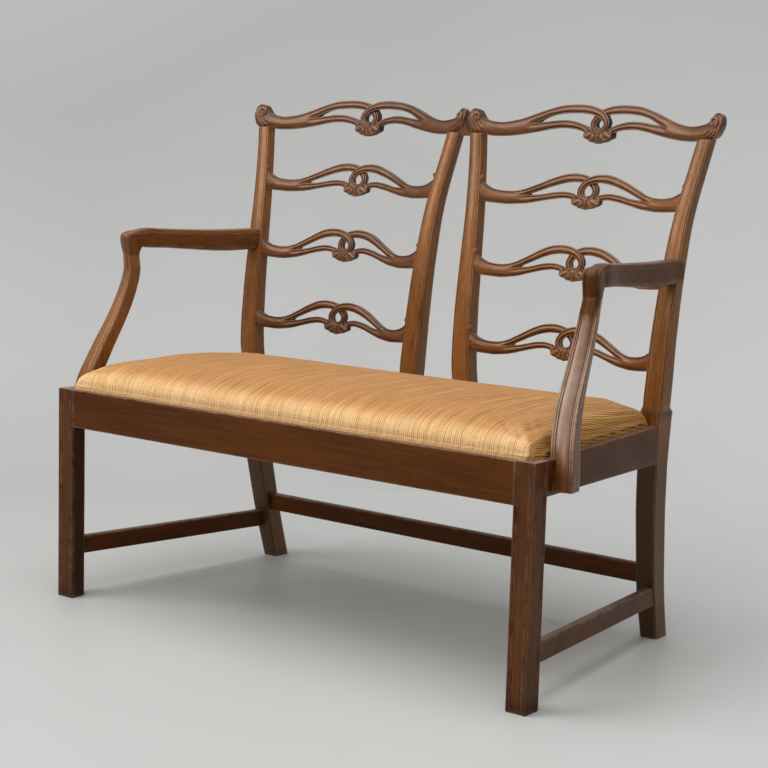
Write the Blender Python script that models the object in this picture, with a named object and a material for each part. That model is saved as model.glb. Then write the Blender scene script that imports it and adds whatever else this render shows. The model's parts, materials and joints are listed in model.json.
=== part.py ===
"""A mahogany settee with two ladder backs, open arms and a drop-in seat.

Metres, +Z up. X runs to the sitter's left (the viewer's right from the front), the front faces -Y.
Lengths along Y are measured from the front face of the front legs, and the finished settee is then
centred on the origin. The back of each half repeats one pattern: two ribbons leave each stile as one
band, part round a piercing, cross over each other at the middle and curl into a knot.
"""
import math
from bisect import bisect_right

import bmesh
import bpy
from mathutils import Matrix, Vector

# Clearances
GAP = 0.0003
OVERRUN = 0.005
SEAT_CLEARANCE = 0.0012

# Seat rails and legs
RAIL_TOP = 0.420
RAIL_HEIGHT = 0.074
RAIL_THICKNESS = 0.030
RAIL_SET_BACK = 0.0015
SIDE_RAIL_FRONT_BOTTOM = 0.3600
SIDE_RAIL_REAR_BOTTOM = 0.3495
FRONT_HALF_SPAN = 0.558
FRONT_LEG_SIDE = 0.040
FRONT_LEG_MOULDING = 0.0022
FRONT_LEG_INNER_CHAMFER = 0.0065
FRONT_LEG_FOOT_CHAMFER = 0.0025
SIDE_SPLAY = 0.047
BACK_HALF_SPAN = FRONT_HALF_SPAN - SIDE_SPLAY
BACK_LEG_FRONT = 0.488
BACK_FOOT_SET_IN = 0.017
BACK_FOOT_HALF_SPAN = BACK_HALF_SPAN - BACK_FOOT_SET_IN
BACK_FOOT_RAKE = 0.064
BACK_FOOT_WIDTH = 0.036
BACK_FOOT_DEPTH = 0.041
BACK_LEG_WIDTH = 0.042
BACK_LEG_DEPTH = 0.043
RAIL_DEPTH = 0.0495
SHOULDER_DEPTH = 0.0530
SHOULDER_RISE = 0.021
SHOULDER_STEP = 0.011
BACK_RAIL_THICKNESS = 0.034
SEAT_REBATE_DEPTH = 0.022
FRONT_LIP = 0.013
SIDE_LIP = 0.017
LEDGE_WIDTH = 0.014
LEDGE_HEIGHT = 0.024
LEDGE_ABOVE_BRACE = 0.008

# Under-frame
SIDE_STRETCHER_HEIGHT = 0.0355
SIDE_STRETCHER_FRONT = 0.0990
SIDE_STRETCHER_REAR = 0.0885
REAR_STRETCHER_HEIGHT = 0.0360
REAR_STRETCHER_CENTRE = 0.1275
STRETCHER_THICKNESS = 0.0170
STRETCHER_INSET = 0.003
STRETCHER_CHAMFER = 0.0030
CORNER_BLOCK_LEG = 0.075
CORNER_BLOCK_HEIGHT = 0.042
CORNER_BLOCK_CLEAR = 0.006
CORNER_BLOCK_DROP = 0.006
BRACE_WIDTH = 0.045
BRACE_HEIGHT = 0.024

# Stiles of the two backs
STILE_OVERHANG = 0.002
STILE_FOOT_WIDTH = 0.0410
STILE_SPREAD = 0.042
CENTRE_STILE_CLEAR = 0.049
BACK_CENTRE = (BACK_HALF_SPAN + STILE_OVERHANG + CENTRE_STILE_CLEAR) / 2
STILE_FOOT_REACH = BACK_CENTRE - CENTRE_STILE_CLEAR - STILE_FOOT_WIDTH / 2
STILE_HEAD_REACH = STILE_FOOT_REACH + STILE_SPREAD
STILE_FOOT_DEPTH = 0.0345
STILE_RAKE = 0.079
STILE_CROWN = 0.0012
STILE_CHAMFER = 0.0030
STILE_FOOT_FLARE = 0.004
OUTER_STILE_SET_IN = 0.003

# Crest rails and slats
CREST_HEIGHT = 0.9656
CREST_OVERHANG = 0.027
CREST_REACH = STILE_HEAD_REACH + CREST_OVERHANG
CREST_RISE = 0.036
CREST_DEPTH = 0.018
CREST_BOW = 0.045
CREST_SEAT_DROP = 0.0245
EAR_LENGTH = 0.040
EAR_START = CREST_REACH - EAR_LENGTH
CENTRE_EAR_SHARE = 0.88
SLAT_HEIGHT_SHARES = (0.763563, 0.5131965, 0.236437)
SLAT_NAMES = ("upper", "middle", "lower")
SLAT_BOWS = (0.0385, 0.0320, 0.0310)
SLAT_PATTERN_REACH = 0.220
SLAT_RISE = 0.033
SLAT_DEPTH = 0.0125
SLAT_SET_BACK = 0.0030
SLAT_DROOPS = (0.0005, 0.0055, 0.0050)
SLAT_TENON = 0.0045
KNOT_HALF_WIDTH = 0.040
RIBBON_CHAMFER = 0.0022
RIBBON_CHAMFER_DEPTH = 0.0018
RIBBON_BACK_TAPER = 0.0028
RIBBON_OVER = 0.0026
RIBBON_UNDER = 0.0016
RIBBON_LOWER_SINK = 0.0006
PIERCING_LINE = 0.0012
LEAF_PROUD = 0.0012
BRIDGE_HEIGHT = 0.024
BRIDGE_HALF_WIDTH = 0.0128
BRIDGE_TOP_DROP = 0.007
BRIDGE_SET_BACK = 0.001
BRIDGE_DEPTH = 0.014

# Arms and their supports
ARM_KNUCKLE_FRONT = 0.1655
ARM_KNUCKLE_DEPTH = 0.0250
ARM_FRONT_SET_IN = 0.0118
ARM_REAR_SET_IN = 0.0038
ARM_FRONT_HALF_SPAN = FRONT_HALF_SPAN - ARM_FRONT_SET_IN
ARM_REAR_HALF_SPAN = BACK_HALF_SPAN - ARM_REAR_SET_IN
ARM_REAR_END = 0.5275
ARM_RISE = 0.3003
ARM_TOP = RAIL_TOP + ARM_RISE
ARM_HUMP = 0.0065
KNUCKLE_RISE = 0.0022
KNUCKLE_HEIGHT = 0.0465
ARM_KNUCKLE_TOP = ARM_TOP + KNUCKLE_RISE
ARM_SCARF = ARM_KNUCKLE_TOP - KNUCKLE_HEIGHT
ARM_FRONT_HEIGHT = 0.030
ARM_REAR_HEIGHT = 0.042
ARM_FRONT_WIDTH = 0.031
ARM_REAR_WIDTH = 0.036
ARM_EDGE = 0.0055
SUPPORT_FOOT = 0.3665
SUPPORT_FOOT_FRONT = 0.046
SUPPORT_FOOT_WIDTH = 0.041
SUPPORT_FOOT_DEPTH = 0.034
SUPPORT_HEAD_DEPTH = 0.0245
SUPPORT_LAP = 0.006
SUPPORT_SWEEP = 0.1245
SUPPORT_SPREAD = 0.0255
SUPPORT_EDGE = 0.0032
SUPPORT_FOOT_TURN = math.radians(6)
SUPPORT_HEAD_TURN = math.radians(22)

# Drop-in seat
SEAT_FRAME_THICKNESS = 0.0195
SEAT_FRAME_WIDTH = 0.050
SEAT_BACK_EDGE = 0.4850
SEAT_CORNER_RADIUS = 0.016
SEAT_BACK_RADIUS = 0.007
COVER_THICKNESS = 0.0018
WEBBING_WIDTH = 0.050
WEBBING_THICKNESS = 0.0014
BASE_CLOTH_THICKNESS = 0.0010
STUFFING_EDGE = 0.0025
CROWN_HEIGHT = 0.056
CROWN_EDGE_HEIGHT = 0.041
CROWN_BULGE = 0.0010

# Rows of the back leg below the rail: height share, spread share, rake share, width share, depth share
BACK_LEG_SHARES = (
    (0.00, 1.00, 1.00, 0.00, 0.00),
    (0.28, 0.70, 0.60, 0.68, -0.60),
    (0.52, 0.42, 0.33, 0.80, 0.00),
    (0.76, 0.16, 0.10, 0.92, 0.75),
    (1.00, 0.00, 0.00, 1.00, 1.00),
)
# A moulded face of a front leg, from its inner edge: share of the side and of the moulding's depth
LEG_FACE_SHARES = ((0.0, 0.0), (0.12, 0.0), (0.16, 1.0), (0.45, 0.35), (0.76, 1.0), (0.80, 0.0))
# Rows of a stile above the rail: rise share, reach share, width share, rake share, depth share
STILE_SHARES = (
    (0.00, 0.00, 1.00, 0.00, 1.00),
    (0.12, 0.15, 0.98, 0.00, 0.97),
    (0.30, 0.25, 0.93, 0.09, 0.91),
    (0.52, 0.34, 0.84, 0.30, 0.83),
    (0.73, 0.50, 0.73, 0.57, 0.76),
    (0.90, 0.80, 0.69, 0.85, 0.70),
    (1.00, 1.00, 0.68, 1.00, 0.68),
)
# How far up a stile its outer face has stepped in from the leg's
STILE_SET_IN_SHARE = 0.3
STILE_RING_SHARES = (0.0, 0.06, 0.14, 0.24, 0.35, 0.46, 0.57, 0.68, 0.78, 0.87, 0.94, 1.0)

# Outlines of the backs. Each point is a share of the pattern's reach and of its rise.
SLAT_TOP_SHARES = (
    (1.030, 0.64), (0.982, 0.37), (0.941, 0.17), (0.886, -0.02),
    (0.818, -0.13), (0.741, -0.17), (0.659, -0.13), (0.586, 0.00),
)
SLAT_BOTTOM_SHARES = (
    (1.030, -0.77), (0.982, -0.80), (0.932, -0.85), (0.877, -0.89),
    (0.809, -0.92), (0.727, -0.94), (0.650, -0.91), (0.573, -0.87),
)
SLAT_TIP_SHARES = (0.559, -0.36)
# Ribbon centre lines: reach share, rise share, width as a share of the rise
SLAT_UPPER_SHARES = (
    (0.455, 0.14, 0.44), (0.341, 0.45, 0.49), (0.227, 0.68, 0.52), (0.127, 0.74, 0.50),
    (0.036, 0.65, 0.47), (-0.036, 0.39, 0.42), (-0.070, 0.00, 0.39), (-0.050, -0.35, 0.39),
    (0.014, -0.49, 0.38),
)
SLAT_LOWER_SHARES = (
    (0.445, -0.50, 0.40), (0.318, -0.34, 0.40), (0.205, -0.28, 0.37),
    (0.127, -0.38, 0.35), (0.086, -0.50, 0.33), (0.055, -0.60, 0.30),
)
CREST_TOP_SHARES = (
    (1.013, 0.26), (1.003, 0.52), (0.980, 0.66), (0.949, 0.61), (0.923, 0.40), (0.891, 0.17),
    (0.827, 0.03), (0.752, -0.04), (0.677, 0.03), (0.581, 0.22), (0.499, 0.46),
)
CREST_BOTTOM_SHARES = (
    (1.013, -0.06), (1.000, -0.36), (0.978, -0.61), (0.950, -0.72), (0.913, -0.72), (0.866, -0.72),
    (0.806, -0.80), (0.738, -0.81), (0.667, -0.78), (0.570, -0.68), (0.492, -0.57),
)
CREST_TIP_SHARES = (0.485, -0.03)
CREST_UPPER_SHARES = (
    (0.399, 0.51, 0.44), (0.314, 0.68, 0.46), (0.221, 0.75, 0.47), (0.135, 0.75, 0.47),
    (0.050, 0.65, 0.44), (-0.021, 0.39, 0.40), (-0.055, 0.01, 0.36), (-0.039, -0.32, 0.36),
    (0.011, -0.45, 0.35),
)
CREST_LOWER_SHARES = (
    (0.399, -0.18, 0.46), (0.303, -0.08, 0.44), (0.214, -0.10, 0.42),
    (0.143, -0.22, 0.37), (0.078, -0.42, 0.33), (0.043, -0.52, 0.29),
)
# Where along a rail its droop towards the stiles starts, and how long it takes
DROOP_START_SHARE = 0.25
DROOP_SPAN_SHARE = 0.5
# Where along a ribbon it starts to rise or sink, and where it is there
LIFT_START_SHARE = 0.18
LIFT_END_SHARE = 0.42
# The carved leaf below each knot, as shares of the knot's half width and of the rise
LEAF_SHARES = (
    (-0.45, -0.30), (-0.84, -0.46), (-0.90, -0.70), (-0.62, -0.86), (-0.30, -0.99), (0.0, -1.10),
    (0.30, -0.99), (0.62, -0.86), (0.90, -0.70), (0.84, -0.46), (0.45, -0.30), (0.0, -0.36),
)
LEAF_FACE_SHARE = 0.86

# Half outline of the block below the centre ears: width share and height share
BRIDGE_SHARES = ((0.0, 0.0), (0.62, 0.06), (1.0, 0.27), (0.84, 0.36), (0.36, 0.72), (0.0, 1.0))

# Side view of an arm's end: outer and under edge as shares of the knuckle's depth and height
KNUCKLE_SHARES = (
    (0.95, 1.02, 1.36, 0.36), (0.30, 1.00, 1.16, 0.30), (0.00, 0.88, 1.06, 0.20),
    (-0.10, 0.64, 1.02, 0.12), (-0.06, 0.30, 1.00, 0.05), (0.00, 0.00, 1.00, 0.00),
)
# An arm from the stile forward: distance share, spread, width, hump and height share
ARM_SHARES = (
    (0.00, 0.00, 1.00, 0.00, 0.75), (0.09, 0.03, 0.98, 0.00, 0.85), (0.22, 0.13, 0.92, -0.03, 0.98),
    (0.38, 0.24, 0.82, 0.05, 0.90), (0.55, 0.36, 0.66, 0.30, 0.68), (0.72, 0.53, 0.46, 0.65, 0.48),
    (0.88, 0.80, 0.22, 1.00, 0.45), (1.00, 1.00, 0.00, 0.60, 0.40),
)
# How far to each side of a ring the arm's turn in plan is read
ARM_SLOPE_SHARE = 0.04
ARM_COLUMN_SHARES = (0.0, 0.08, 0.20, 0.34, 0.48, 0.62, 0.76, 0.88)
# Rows of an arm support: height share, sweep-back share, spread share, width share
SUPPORT_SHARES = (
    (0.00, 0.00, 1.00, 1.00), (0.12, 0.09, 0.92, 0.96), (0.22, 0.18, 0.74, 0.84),
    (0.34, 0.32, 0.48, 0.66), (0.45, 0.45, 0.30, 0.55), (0.57, 0.62, 0.14, 0.40),
    (0.69, 0.78, 0.03, 0.27), (0.80, 0.90, -0.03, 0.16), (0.90, 0.98, -0.03, 0.07),
    (1.00, 1.00, 0.00, 0.00),
)

# Rings of the seat cover: inset share, height share, bulge share
COVER_SHARES = (
    (0.00, -0.66, 0.0), (0.00, 0.00, 0.0), (0.00, 0.35, 1.0), (0.012, 0.78, 0.8), (0.05, 1.00, 0.0),
)
CROWN_SHARES = ((0.15, 0.42), (0.32, 0.74), (0.54, 0.93), (0.80, 1.00))
CORNER_SHARE = 0.4
CROWN_BACK_FALL_SHARE = 0.23
SEAT_SIDE_STEPS = 7
SEAT_END_STEPS = 4
SEAT_CORNER_STEPS = 3
WEBBING_CROSS_COUNT = 7
WEBBING_LONG_COUNT = 3
WEBBING_END_SHARE = 1.0
WEBBING_SIDE_SHARE = 1.2

SIDES = (("left", -1), ("right", 1))
STILE_RISE = CREST_HEIGHT - CREST_SEAT_DROP - RAIL_TOP
RAIL_BOTTOM = RAIL_TOP - RAIL_HEIGHT
RIBBON_STEPS = 18
LOWER_STEPS = 6
PIERCING_LINE_ROWS = 2
SMOOTH_ANGLE = math.radians(40)


def clear_scene():
    """Remove whatever the file opened with."""
    for item in list(bpy.data.objects):
        bpy.data.objects.remove(item, do_unlink=True)


def finish_material(name, colour, roughness, metallic=0.0):
    """One Principled material."""
    material = bpy.data.materials.new(name)
    material.use_nodes = True
    shader = material.node_tree.nodes["Principled BSDF"]
    shader.inputs["Base Color"].default_value = (*colour, 1.0)
    shader.inputs["Roughness"].default_value = roughness
    shader.inputs["Metallic"].default_value = metallic
    return material


def add_piece(name, mesh, material, parent):
    """Link a finished mesh as a named piece on its carrier."""
    mesh.materials.clear()
    mesh.materials.append(material)
    mesh.shade_smooth()
    mesh.set_sharp_from_angle(angle=SMOOTH_ANGLE)
    piece = bpy.data.objects.new(name, mesh)
    bpy.context.scene.collection.objects.link(piece)
    piece.parent = parent
    piece.matrix_parent_inverse = parent.matrix_world.inverted()
    return piece


def add_guide(name, mesh, parent):
    """A shape that only cuts or joins another piece."""
    guide = bpy.data.objects.new(name, mesh)
    bpy.context.scene.collection.objects.link(guide)
    guide.parent = parent
    guide.matrix_parent_inverse = parent.matrix_world.inverted()
    guide.hide_render = True
    guide.display_type = "WIRE"
    return guide


def combine(piece, guide, operation):
    """Cut a piece with a guide, or join the guide to it."""
    modifier = piece.modifiers.new(guide.name, "BOOLEAN")
    modifier.operation = operation
    modifier.solver = "EXACT"
    modifier.object = guide
    return piece


def hermite(knots, values, place):
    """The value at one place on a smooth curve through values at the knots."""
    last = len(knots) - 1
    index = min(max(bisect_right(knots, place) - 1, 0), last - 1)

    def slope(k):
        before = (values[k] - values[k - 1]) / (knots[k] - knots[k - 1]) if k > 0 else None
        after = (values[k + 1] - values[k]) / (knots[k + 1] - knots[k]) if k < last else None
        if before is None:
            return after
        if after is None:
            return before
        near = knots[k] - knots[k - 1]
        far = knots[k + 1] - knots[k]
        return (before * far + after * near) / (near + far)

    span = knots[index + 1] - knots[index]
    t = (place - knots[index]) / span
    start = values[index]
    end = values[index + 1]
    return ((2 * t ** 3 - 3 * t ** 2 + 1) * start + (t ** 3 - 2 * t ** 2 + t) * span * slope(index)
            + (3 * t ** 2 - 2 * t ** 3) * end + (t ** 3 - t ** 2) * span * slope(index + 1))


def read_rows(rows, place):
    """Every column of a table but the first, read smoothly at a place in the first."""
    knots = [row[0] for row in rows]
    return [hermite(knots, [row[k] for row in rows], place) for k in range(1, len(rows[0]))]


def along(points, count):
    """Points spaced evenly on a smooth curve through the given ones."""
    knots = [0.0]
    for before, after in zip(points, points[1:]):
        knots.append(knots[-1] + math.dist(before[:2], after[:2]))
    rows = [(knot, *point) for knot, point in zip(knots, points)]
    return [read_rows(rows, knots[-1] * k / (count - 1)) for k in range(count)]


def mix(start, end, share):
    """The value a share of the way from start to end."""
    return start + (end - start) * share


def bridge(mesh, ring, other):
    """Skin between two rings with as many points."""
    count = len(ring)
    for k in range(count):
        follow = (k + 1) % count
        mesh.faces.new((ring[k], ring[follow], other[follow], other[k]))


def close_mesh(mesh, name):
    """Turn the faces outwards and hand over the finished mesh."""
    bmesh.ops.recalc_face_normals(mesh, faces=mesh.faces[:])
    data = bpy.data.meshes.new(name)
    mesh.to_mesh(data)
    mesh.free()
    return data


def loft(name, rings):
    """A closed solid through rings of points, capped at both ends."""
    mesh = bmesh.new()
    loops = [[mesh.verts.new(point) for point in ring] for ring in rings]
    for ring, other in zip(loops, loops[1:]):
        bridge(mesh, ring, other)
    mesh.faces.new(loops[0])
    mesh.faces.new(reversed(loops[-1]))
    return close_mesh(mesh, name)


def prism(name, outline, low, high):
    """An outline in plan, raised from one height to another."""
    rings = [[(x, y, z) for x, y in outline] for z in (low, high)]
    return loft(name, rings)


def block(name, low, high):
    """A plain box between two corners."""
    outline = ((low[0], low[1]), (high[0], low[1]), (high[0], high[1]), (low[0], high[1]))
    return prism(name, outline, low[2], high[2])


def mirrored(points, sign):
    """Points of the right side, carried to the side that the sign names."""
    return [(sign * point[0], *point[1:]) for point in points]


def side_rail_outer(y):
    """Half width of the seat frame's outer face at a depth."""
    start = FRONT_HALF_SPAN - RAIL_SET_BACK
    end = BACK_HALF_SPAN
    share = (y - FRONT_LEG_SIDE) / (BACK_LEG_FRONT - FRONT_LEG_SIDE)
    return mix(start, end, share)


def stile_row(rise_share):
    """Reach from the back's centre, width, front face and depth of a stile."""
    reach, width, rake, depth = read_rows(STILE_SHARES, rise_share)
    return (mix(STILE_FOOT_REACH, STILE_HEAD_REACH, reach), STILE_FOOT_WIDTH * width,
            BACK_LEG_FRONT + STILE_RAKE * rake, STILE_FOOT_DEPTH * depth)


def back_surface(z):
    """The front face of the stiles at a height."""
    return stile_row((z - RAIL_TOP) / STILE_RISE)[2]


def stile_section(centre, front, width, depth, z, grow):
    """One ring of a stile: square back, crowned front between chamfered edges."""
    half = width / 2 + grow
    near = front - grow
    far = front + depth + grow
    edge = STILE_CHAMFER
    return [(centre - half, far, z), (centre + half, far, z), (centre + half, near + edge, z),
            (centre + half - edge, near, z), (centre, near - STILE_CROWN, z),
            (centre - half + edge, near, z), (centre - half, near + edge, z)]


def stile_rings(centre_sign, grow=0.0):
    """Rings of a stile above the rail, at the outer (+1) or inner (-1) side of a back."""
    rings = []
    for share in STILE_RING_SHARES:
        reach, width, front, depth = stile_row(share)
        z = RAIL_TOP + STILE_RISE * share
        if centre_sign > 0:
            reach -= OUTER_STILE_SET_IN * min(share / STILE_SET_IN_SHARE, 1.0)
        rings.append(stile_section(BACK_CENTRE + centre_sign * reach, front, width, depth, z, grow))
    return rings


def back_leg_rings(grow=0.0):
    """Rings of the leg below the rail top, then the shoulder."""
    rings = []
    for share, spread, rake, width, depth in BACK_LEG_SHARES:
        outer = mix(BACK_HALF_SPAN, BACK_FOOT_HALF_SPAN, spread)
        wide = mix(BACK_FOOT_WIDTH, BACK_LEG_WIDTH, width)
        deep = mix(BACK_FOOT_DEPTH, BACK_LEG_DEPTH, depth)
        front = BACK_LEG_FRONT + BACK_FOOT_RAKE * rake
        rings.append(stile_section(outer - wide / 2, front, wide, deep, RAIL_BOTTOM * share, grow))
    centre = BACK_HALF_SPAN - BACK_LEG_WIDTH / 2
    for depth, z in ((RAIL_DEPTH, RAIL_TOP), (SHOULDER_DEPTH, RAIL_TOP + SHOULDER_RISE)):
        rings.append(stile_section(centre, BACK_LEG_FRONT, BACK_LEG_WIDTH, depth, z, grow))
    return rings


def back_leg_mesh(name, sign, grow=0.0):
    """A back leg and its outer stile, sawn from one board."""
    start = RAIL_TOP + SHOULDER_RISE + SHOULDER_STEP
    reach, width, front, depth = stile_row((start - RAIL_TOP) / STILE_RISE)
    rings = back_leg_rings(grow)
    rings.append(stile_section(BACK_CENTRE + reach, front, width, depth, start, grow))
    rings += [ring for ring in stile_rings(1, grow) if ring[0][2] > start + OVERRUN]
    if grow:
        rings.append([(x, y, z + grow) for x, y, z in rings[-1]])
    return loft(name, [mirrored(ring, sign) for ring in rings])


def centre_stile_mesh(name, sign, grow=0.0):
    """A stile that stands on the back seat rail, with a small flare at its foot."""
    rings = stile_rings(-1, grow)
    foot = [(x, y, z + GAP) for x, y, z in rings[0]]
    middle = sum(x for x, y, z in foot) / len(foot)
    flare = 1 + STILE_FOOT_FLARE / STILE_FOOT_WIDTH
    rings[0] = [(middle + (x - middle) * flare, y, z) for x, y, z in foot]
    if grow:
        rings.append([(x, y, z + grow) for x, y, z in rings[-1]])
    return loft(name, [mirrored(ring, sign) for ring in rings])


def build_back_legs_and_stiles(wood, carrier):
    """Both back legs, both centre stiles, and the same shapes a gap larger to fit others by."""
    cutters = {}
    for side, sign in SIDES:
        add_piece(f"back_leg_{side}", back_leg_mesh(f"back_leg_{side}", sign), wood, carrier)
        add_piece(f"centre_stile_{side}", centre_stile_mesh(f"centre_stile_{side}", sign), wood, carrier)
        outer = add_guide(f"fit_back_leg_{side}", back_leg_mesh("fit_leg", sign, GAP), carrier)
        inner = add_guide(f"fit_centre_stile_{side}", centre_stile_mesh("fit_stile", sign, GAP), carrier)
        cutters[side] = (outer, inner)
    return cutters


class Pattern:
    """One ladder rail's drawing, sized for its place in the back."""

    def __init__(self, shares, pattern_reach, reach, rise, height, depth, bow, set_back, droop):
        self.top, self.bottom, self.tip, self.upper, self.lower = shares
        self.pattern_reach = pattern_reach
        self.reach = reach
        self.rise = rise
        self.height = height
        self.depth = depth
        self.bow = bow
        self.set_back = set_back
        self.droop = droop

    def point(self, share):
        """A drawn point in real sizes. Only the part outside the knot follows the rail's reach."""
        out = share[0] * self.pattern_reach
        if out > KNOT_HALF_WIDTH:
            stretch = (self.reach - KNOT_HALF_WIDTH) / (self.pattern_reach - KNOT_HALF_WIDTH)
            out = KNOT_HALF_WIDTH + (out - KNOT_HALF_WIDTH) * stretch
        return (out, share[1] * self.rise, *[size * self.rise for size in share[2:]])

    def points(self, shares):
        """A whole outline or centre line in real sizes."""
        return [self.point(share) for share in shares]

    def world(self, sign, centre_sign, out, up, inward):
        """Bend a point of the drawing on to the bowed, raked back."""
        fall = min(max((out / self.reach - DROOP_START_SHARE) / DROOP_SPAN_SHARE, 0.0), 1.0)
        z = self.height + up - self.droop * fall * fall * (3 - 2 * fall)
        bend = self.bow * (1 - min(1.0, (out / self.reach) ** 2))
        y = back_surface(z) + bend + self.set_back + inward
        if out > EAR_START and centre_sign != sign:
            out = EAR_START + (out - EAR_START) * CENTRE_EAR_SHARE
        return (sign * BACK_CENTRE + centre_sign * out, y, z)


def ribbon_edges(centres):
    """Outer and inner edge of a ribbon, from its centre line and widths."""
    edges = []
    last = len(centres) - 1
    for k, (out, up, width) in enumerate(centres):
        before = centres[max(k - 1, 0)]
        after = centres[min(k + 1, last)]
        run = Vector((after[0] - before[0], after[1] - before[1])).normalized()
        across = Vector((run.y, -run.x)) * (width / 2)
        edges.append(((out + across.x, up + across.y), (out - across.x, up - across.y)))
    return edges


def ribbon_ring(outer, inner, lift, depth):
    """One ring of a ribbon: two chamfered front edges and a flat back."""
    run = Vector(inner) - Vector(outer)
    step = run.normalized() * RIBBON_CHAMFER
    near = Vector(outer) + step
    far = Vector(inner) - step
    taper = run.normalized() * RIBBON_BACK_TAPER
    rear_outer = Vector(outer) + taper
    rear_inner = Vector(inner) - taper
    return [(*outer, lift + RIBBON_CHAMFER_DEPTH), (*near, lift), (*far, lift),
            (*inner, lift + RIBBON_CHAMFER_DEPTH), (*rear_inner, lift + depth),
            (*rear_outer, lift + depth)]


def lift_at(share, height):
    """How far a ribbon rises or sinks where it passes the other."""
    rise = (share - LIFT_START_SHARE) / (LIFT_END_SHARE - LIFT_START_SHARE)
    rise = min(max(rise, 0.0), 1.0)
    return height * rise * rise * (3 - 2 * rise)


def ladder_arm(name, pattern, sign, centre_sign, lift):
    """One half of a ladder rail: a solid end that forks into an upper and a lower ribbon."""
    mesh = bmesh.new()
    depth = pattern.depth

    def verts(ring):
        return [mesh.verts.new(pattern.world(sign, centre_sign, *point)) for point in ring]

    top = pattern.points(pattern.top)
    bottom = pattern.points(pattern.bottom)
    rows = len(top)
    tip = pattern.point(pattern.tip)
    tip_share = math.dist(tip, top[-1]) / (math.dist(tip, top[-1]) + math.dist(tip, bottom[-1]))
    rings = []
    for k in range(rows):
        high = Vector(top[k])
        low = Vector(bottom[k])
        middle = high.lerp(low, tip_share) if k < rows - 1 else Vector(tip)
        line = PIERCING_LINE * max(0, k + 1 + PIERCING_LINE_ROWS - rows) / PIERCING_LINE_ROWS
        upper = ribbon_ring(high, middle, 0.0, depth)
        lower = ribbon_ring(middle, low, 0.0, depth)
        ring = upper[:3] + [(*middle, line)] + lower[1:5] + [(*middle, depth), upper[5]]
        rings.append(verts(ring))
    mesh.faces.new(rings[0])
    for ring, other in zip(rings, rings[1:]):
        bridge(mesh, ring, other)
    fork = rings[-1]

    def ribbon(first, centres, count, height):
        edges = ribbon_edges(along(centres, count))
        previous = first
        for k, (outer, inner) in enumerate(edges[1:], 1):
            ring = verts(ribbon_ring(outer, inner, lift_at(k / (count - 1), height), depth))
            bridge(mesh, previous, ring)
            previous = ring
        mesh.faces.new(reversed(previous))

    def start(high, low):
        return ((high[0] + low[0]) / 2, (high[1] + low[1]) / 2, math.dist(high, low))

    upper_first = [fork[0], fork[1], fork[2], fork[3], fork[8], fork[9]]
    lower_first = [fork[3], fork[4], fork[5], fork[6], fork[7], fork[8]]
    ribbon(upper_first, [start(top[-1], tip)] + pattern.points(pattern.upper), RIBBON_STEPS, lift)
    ribbon(lower_first, [start(tip, bottom[-1])] + pattern.points(pattern.lower), LOWER_STEPS,
           RIBBON_LOWER_SINK)
    return close_mesh(mesh, name)


def leaf_mesh(name, pattern, sign):
    """The carved leaf that hangs below the knot."""
    outline = [(out * KNOT_HALF_WIDTH, up * pattern.rise) for out, up in LEAF_SHARES]
    middle = (0.0, (outline[0][1] + outline[len(outline) // 2][1]) / 2)
    small = [(mix(middle[0], out, LEAF_FACE_SHARE), mix(middle[1], up, LEAF_FACE_SHARE))
             for out, up in outline]
    rings = ((outline, pattern.depth - LEAF_PROUD), (outline, LEAF_PROUD), (small, -LEAF_PROUD))
    return loft(name, [[pattern.world(sign, 1, *point, inward) for point in ring]
                       for ring, inward in rings])


def ladder_rail(name, pattern, sign, over_sign, wood, carrier):
    """A whole crest or slat: two halves that cross, and the leaf below them."""
    own = ladder_arm(name, pattern, sign, over_sign, -RIBBON_OVER)
    piece = add_piece(name, own, wood, carrier)
    other = ladder_arm("under", pattern, sign, -over_sign, RIBBON_UNDER)
    combine(piece, add_guide(f"{name}_under_ribbon", other, carrier), "UNION")
    leaf = leaf_mesh("leaf", pattern, sign)
    combine(piece, add_guide(f"{name}_leaf", leaf, carrier), "UNION")
    return piece


def build_ladders(wood, carrier, cutters):
    """Two crest rails and six slats. The ribbon that lies on top changes side from rail to rail."""
    crest_shares = (CREST_TOP_SHARES, CREST_BOTTOM_SHARES, CREST_TIP_SHARES,
                    CREST_UPPER_SHARES, CREST_LOWER_SHARES)
    slat_shares = (SLAT_TOP_SHARES, SLAT_BOTTOM_SHARES, SLAT_TIP_SHARES,
                   SLAT_UPPER_SHARES, SLAT_LOWER_SHARES)
    slat_over_signs = (1, -1, 1)
    for side, sign in SIDES:
        crest = Pattern(crest_shares, CREST_REACH, CREST_REACH, CREST_RISE, CREST_HEIGHT,
                        CREST_DEPTH, CREST_BOW, 0.0, 0.0)
        piece = ladder_rail(f"crest_rail_{side}", crest, sign, -sign, wood, carrier)
        for cutter in cutters[side]:
            combine(piece, cutter, "DIFFERENCE")
        rows = zip(SLAT_NAMES, SLAT_HEIGHT_SHARES, SLAT_BOWS, SLAT_DROOPS, slat_over_signs)
        for level, height_share, bow, droop, over in rows:
            height = mix(RAIL_TOP, CREST_HEIGHT, height_share)
            reach, width = stile_row((height - RAIL_TOP) / STILE_RISE)[:2]
            slat = Pattern(slat_shares, SLAT_PATTERN_REACH, reach - width / 2 + SLAT_TENON,
                           SLAT_RISE, height, SLAT_DEPTH, bow, SLAT_SET_BACK, droop)
            piece = ladder_rail(f"slat_{level}_{side}", slat, sign, over, wood, carrier)
            for cutter in cutters[side]:
                combine(piece, cutter, "DIFFERENCE")


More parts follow.
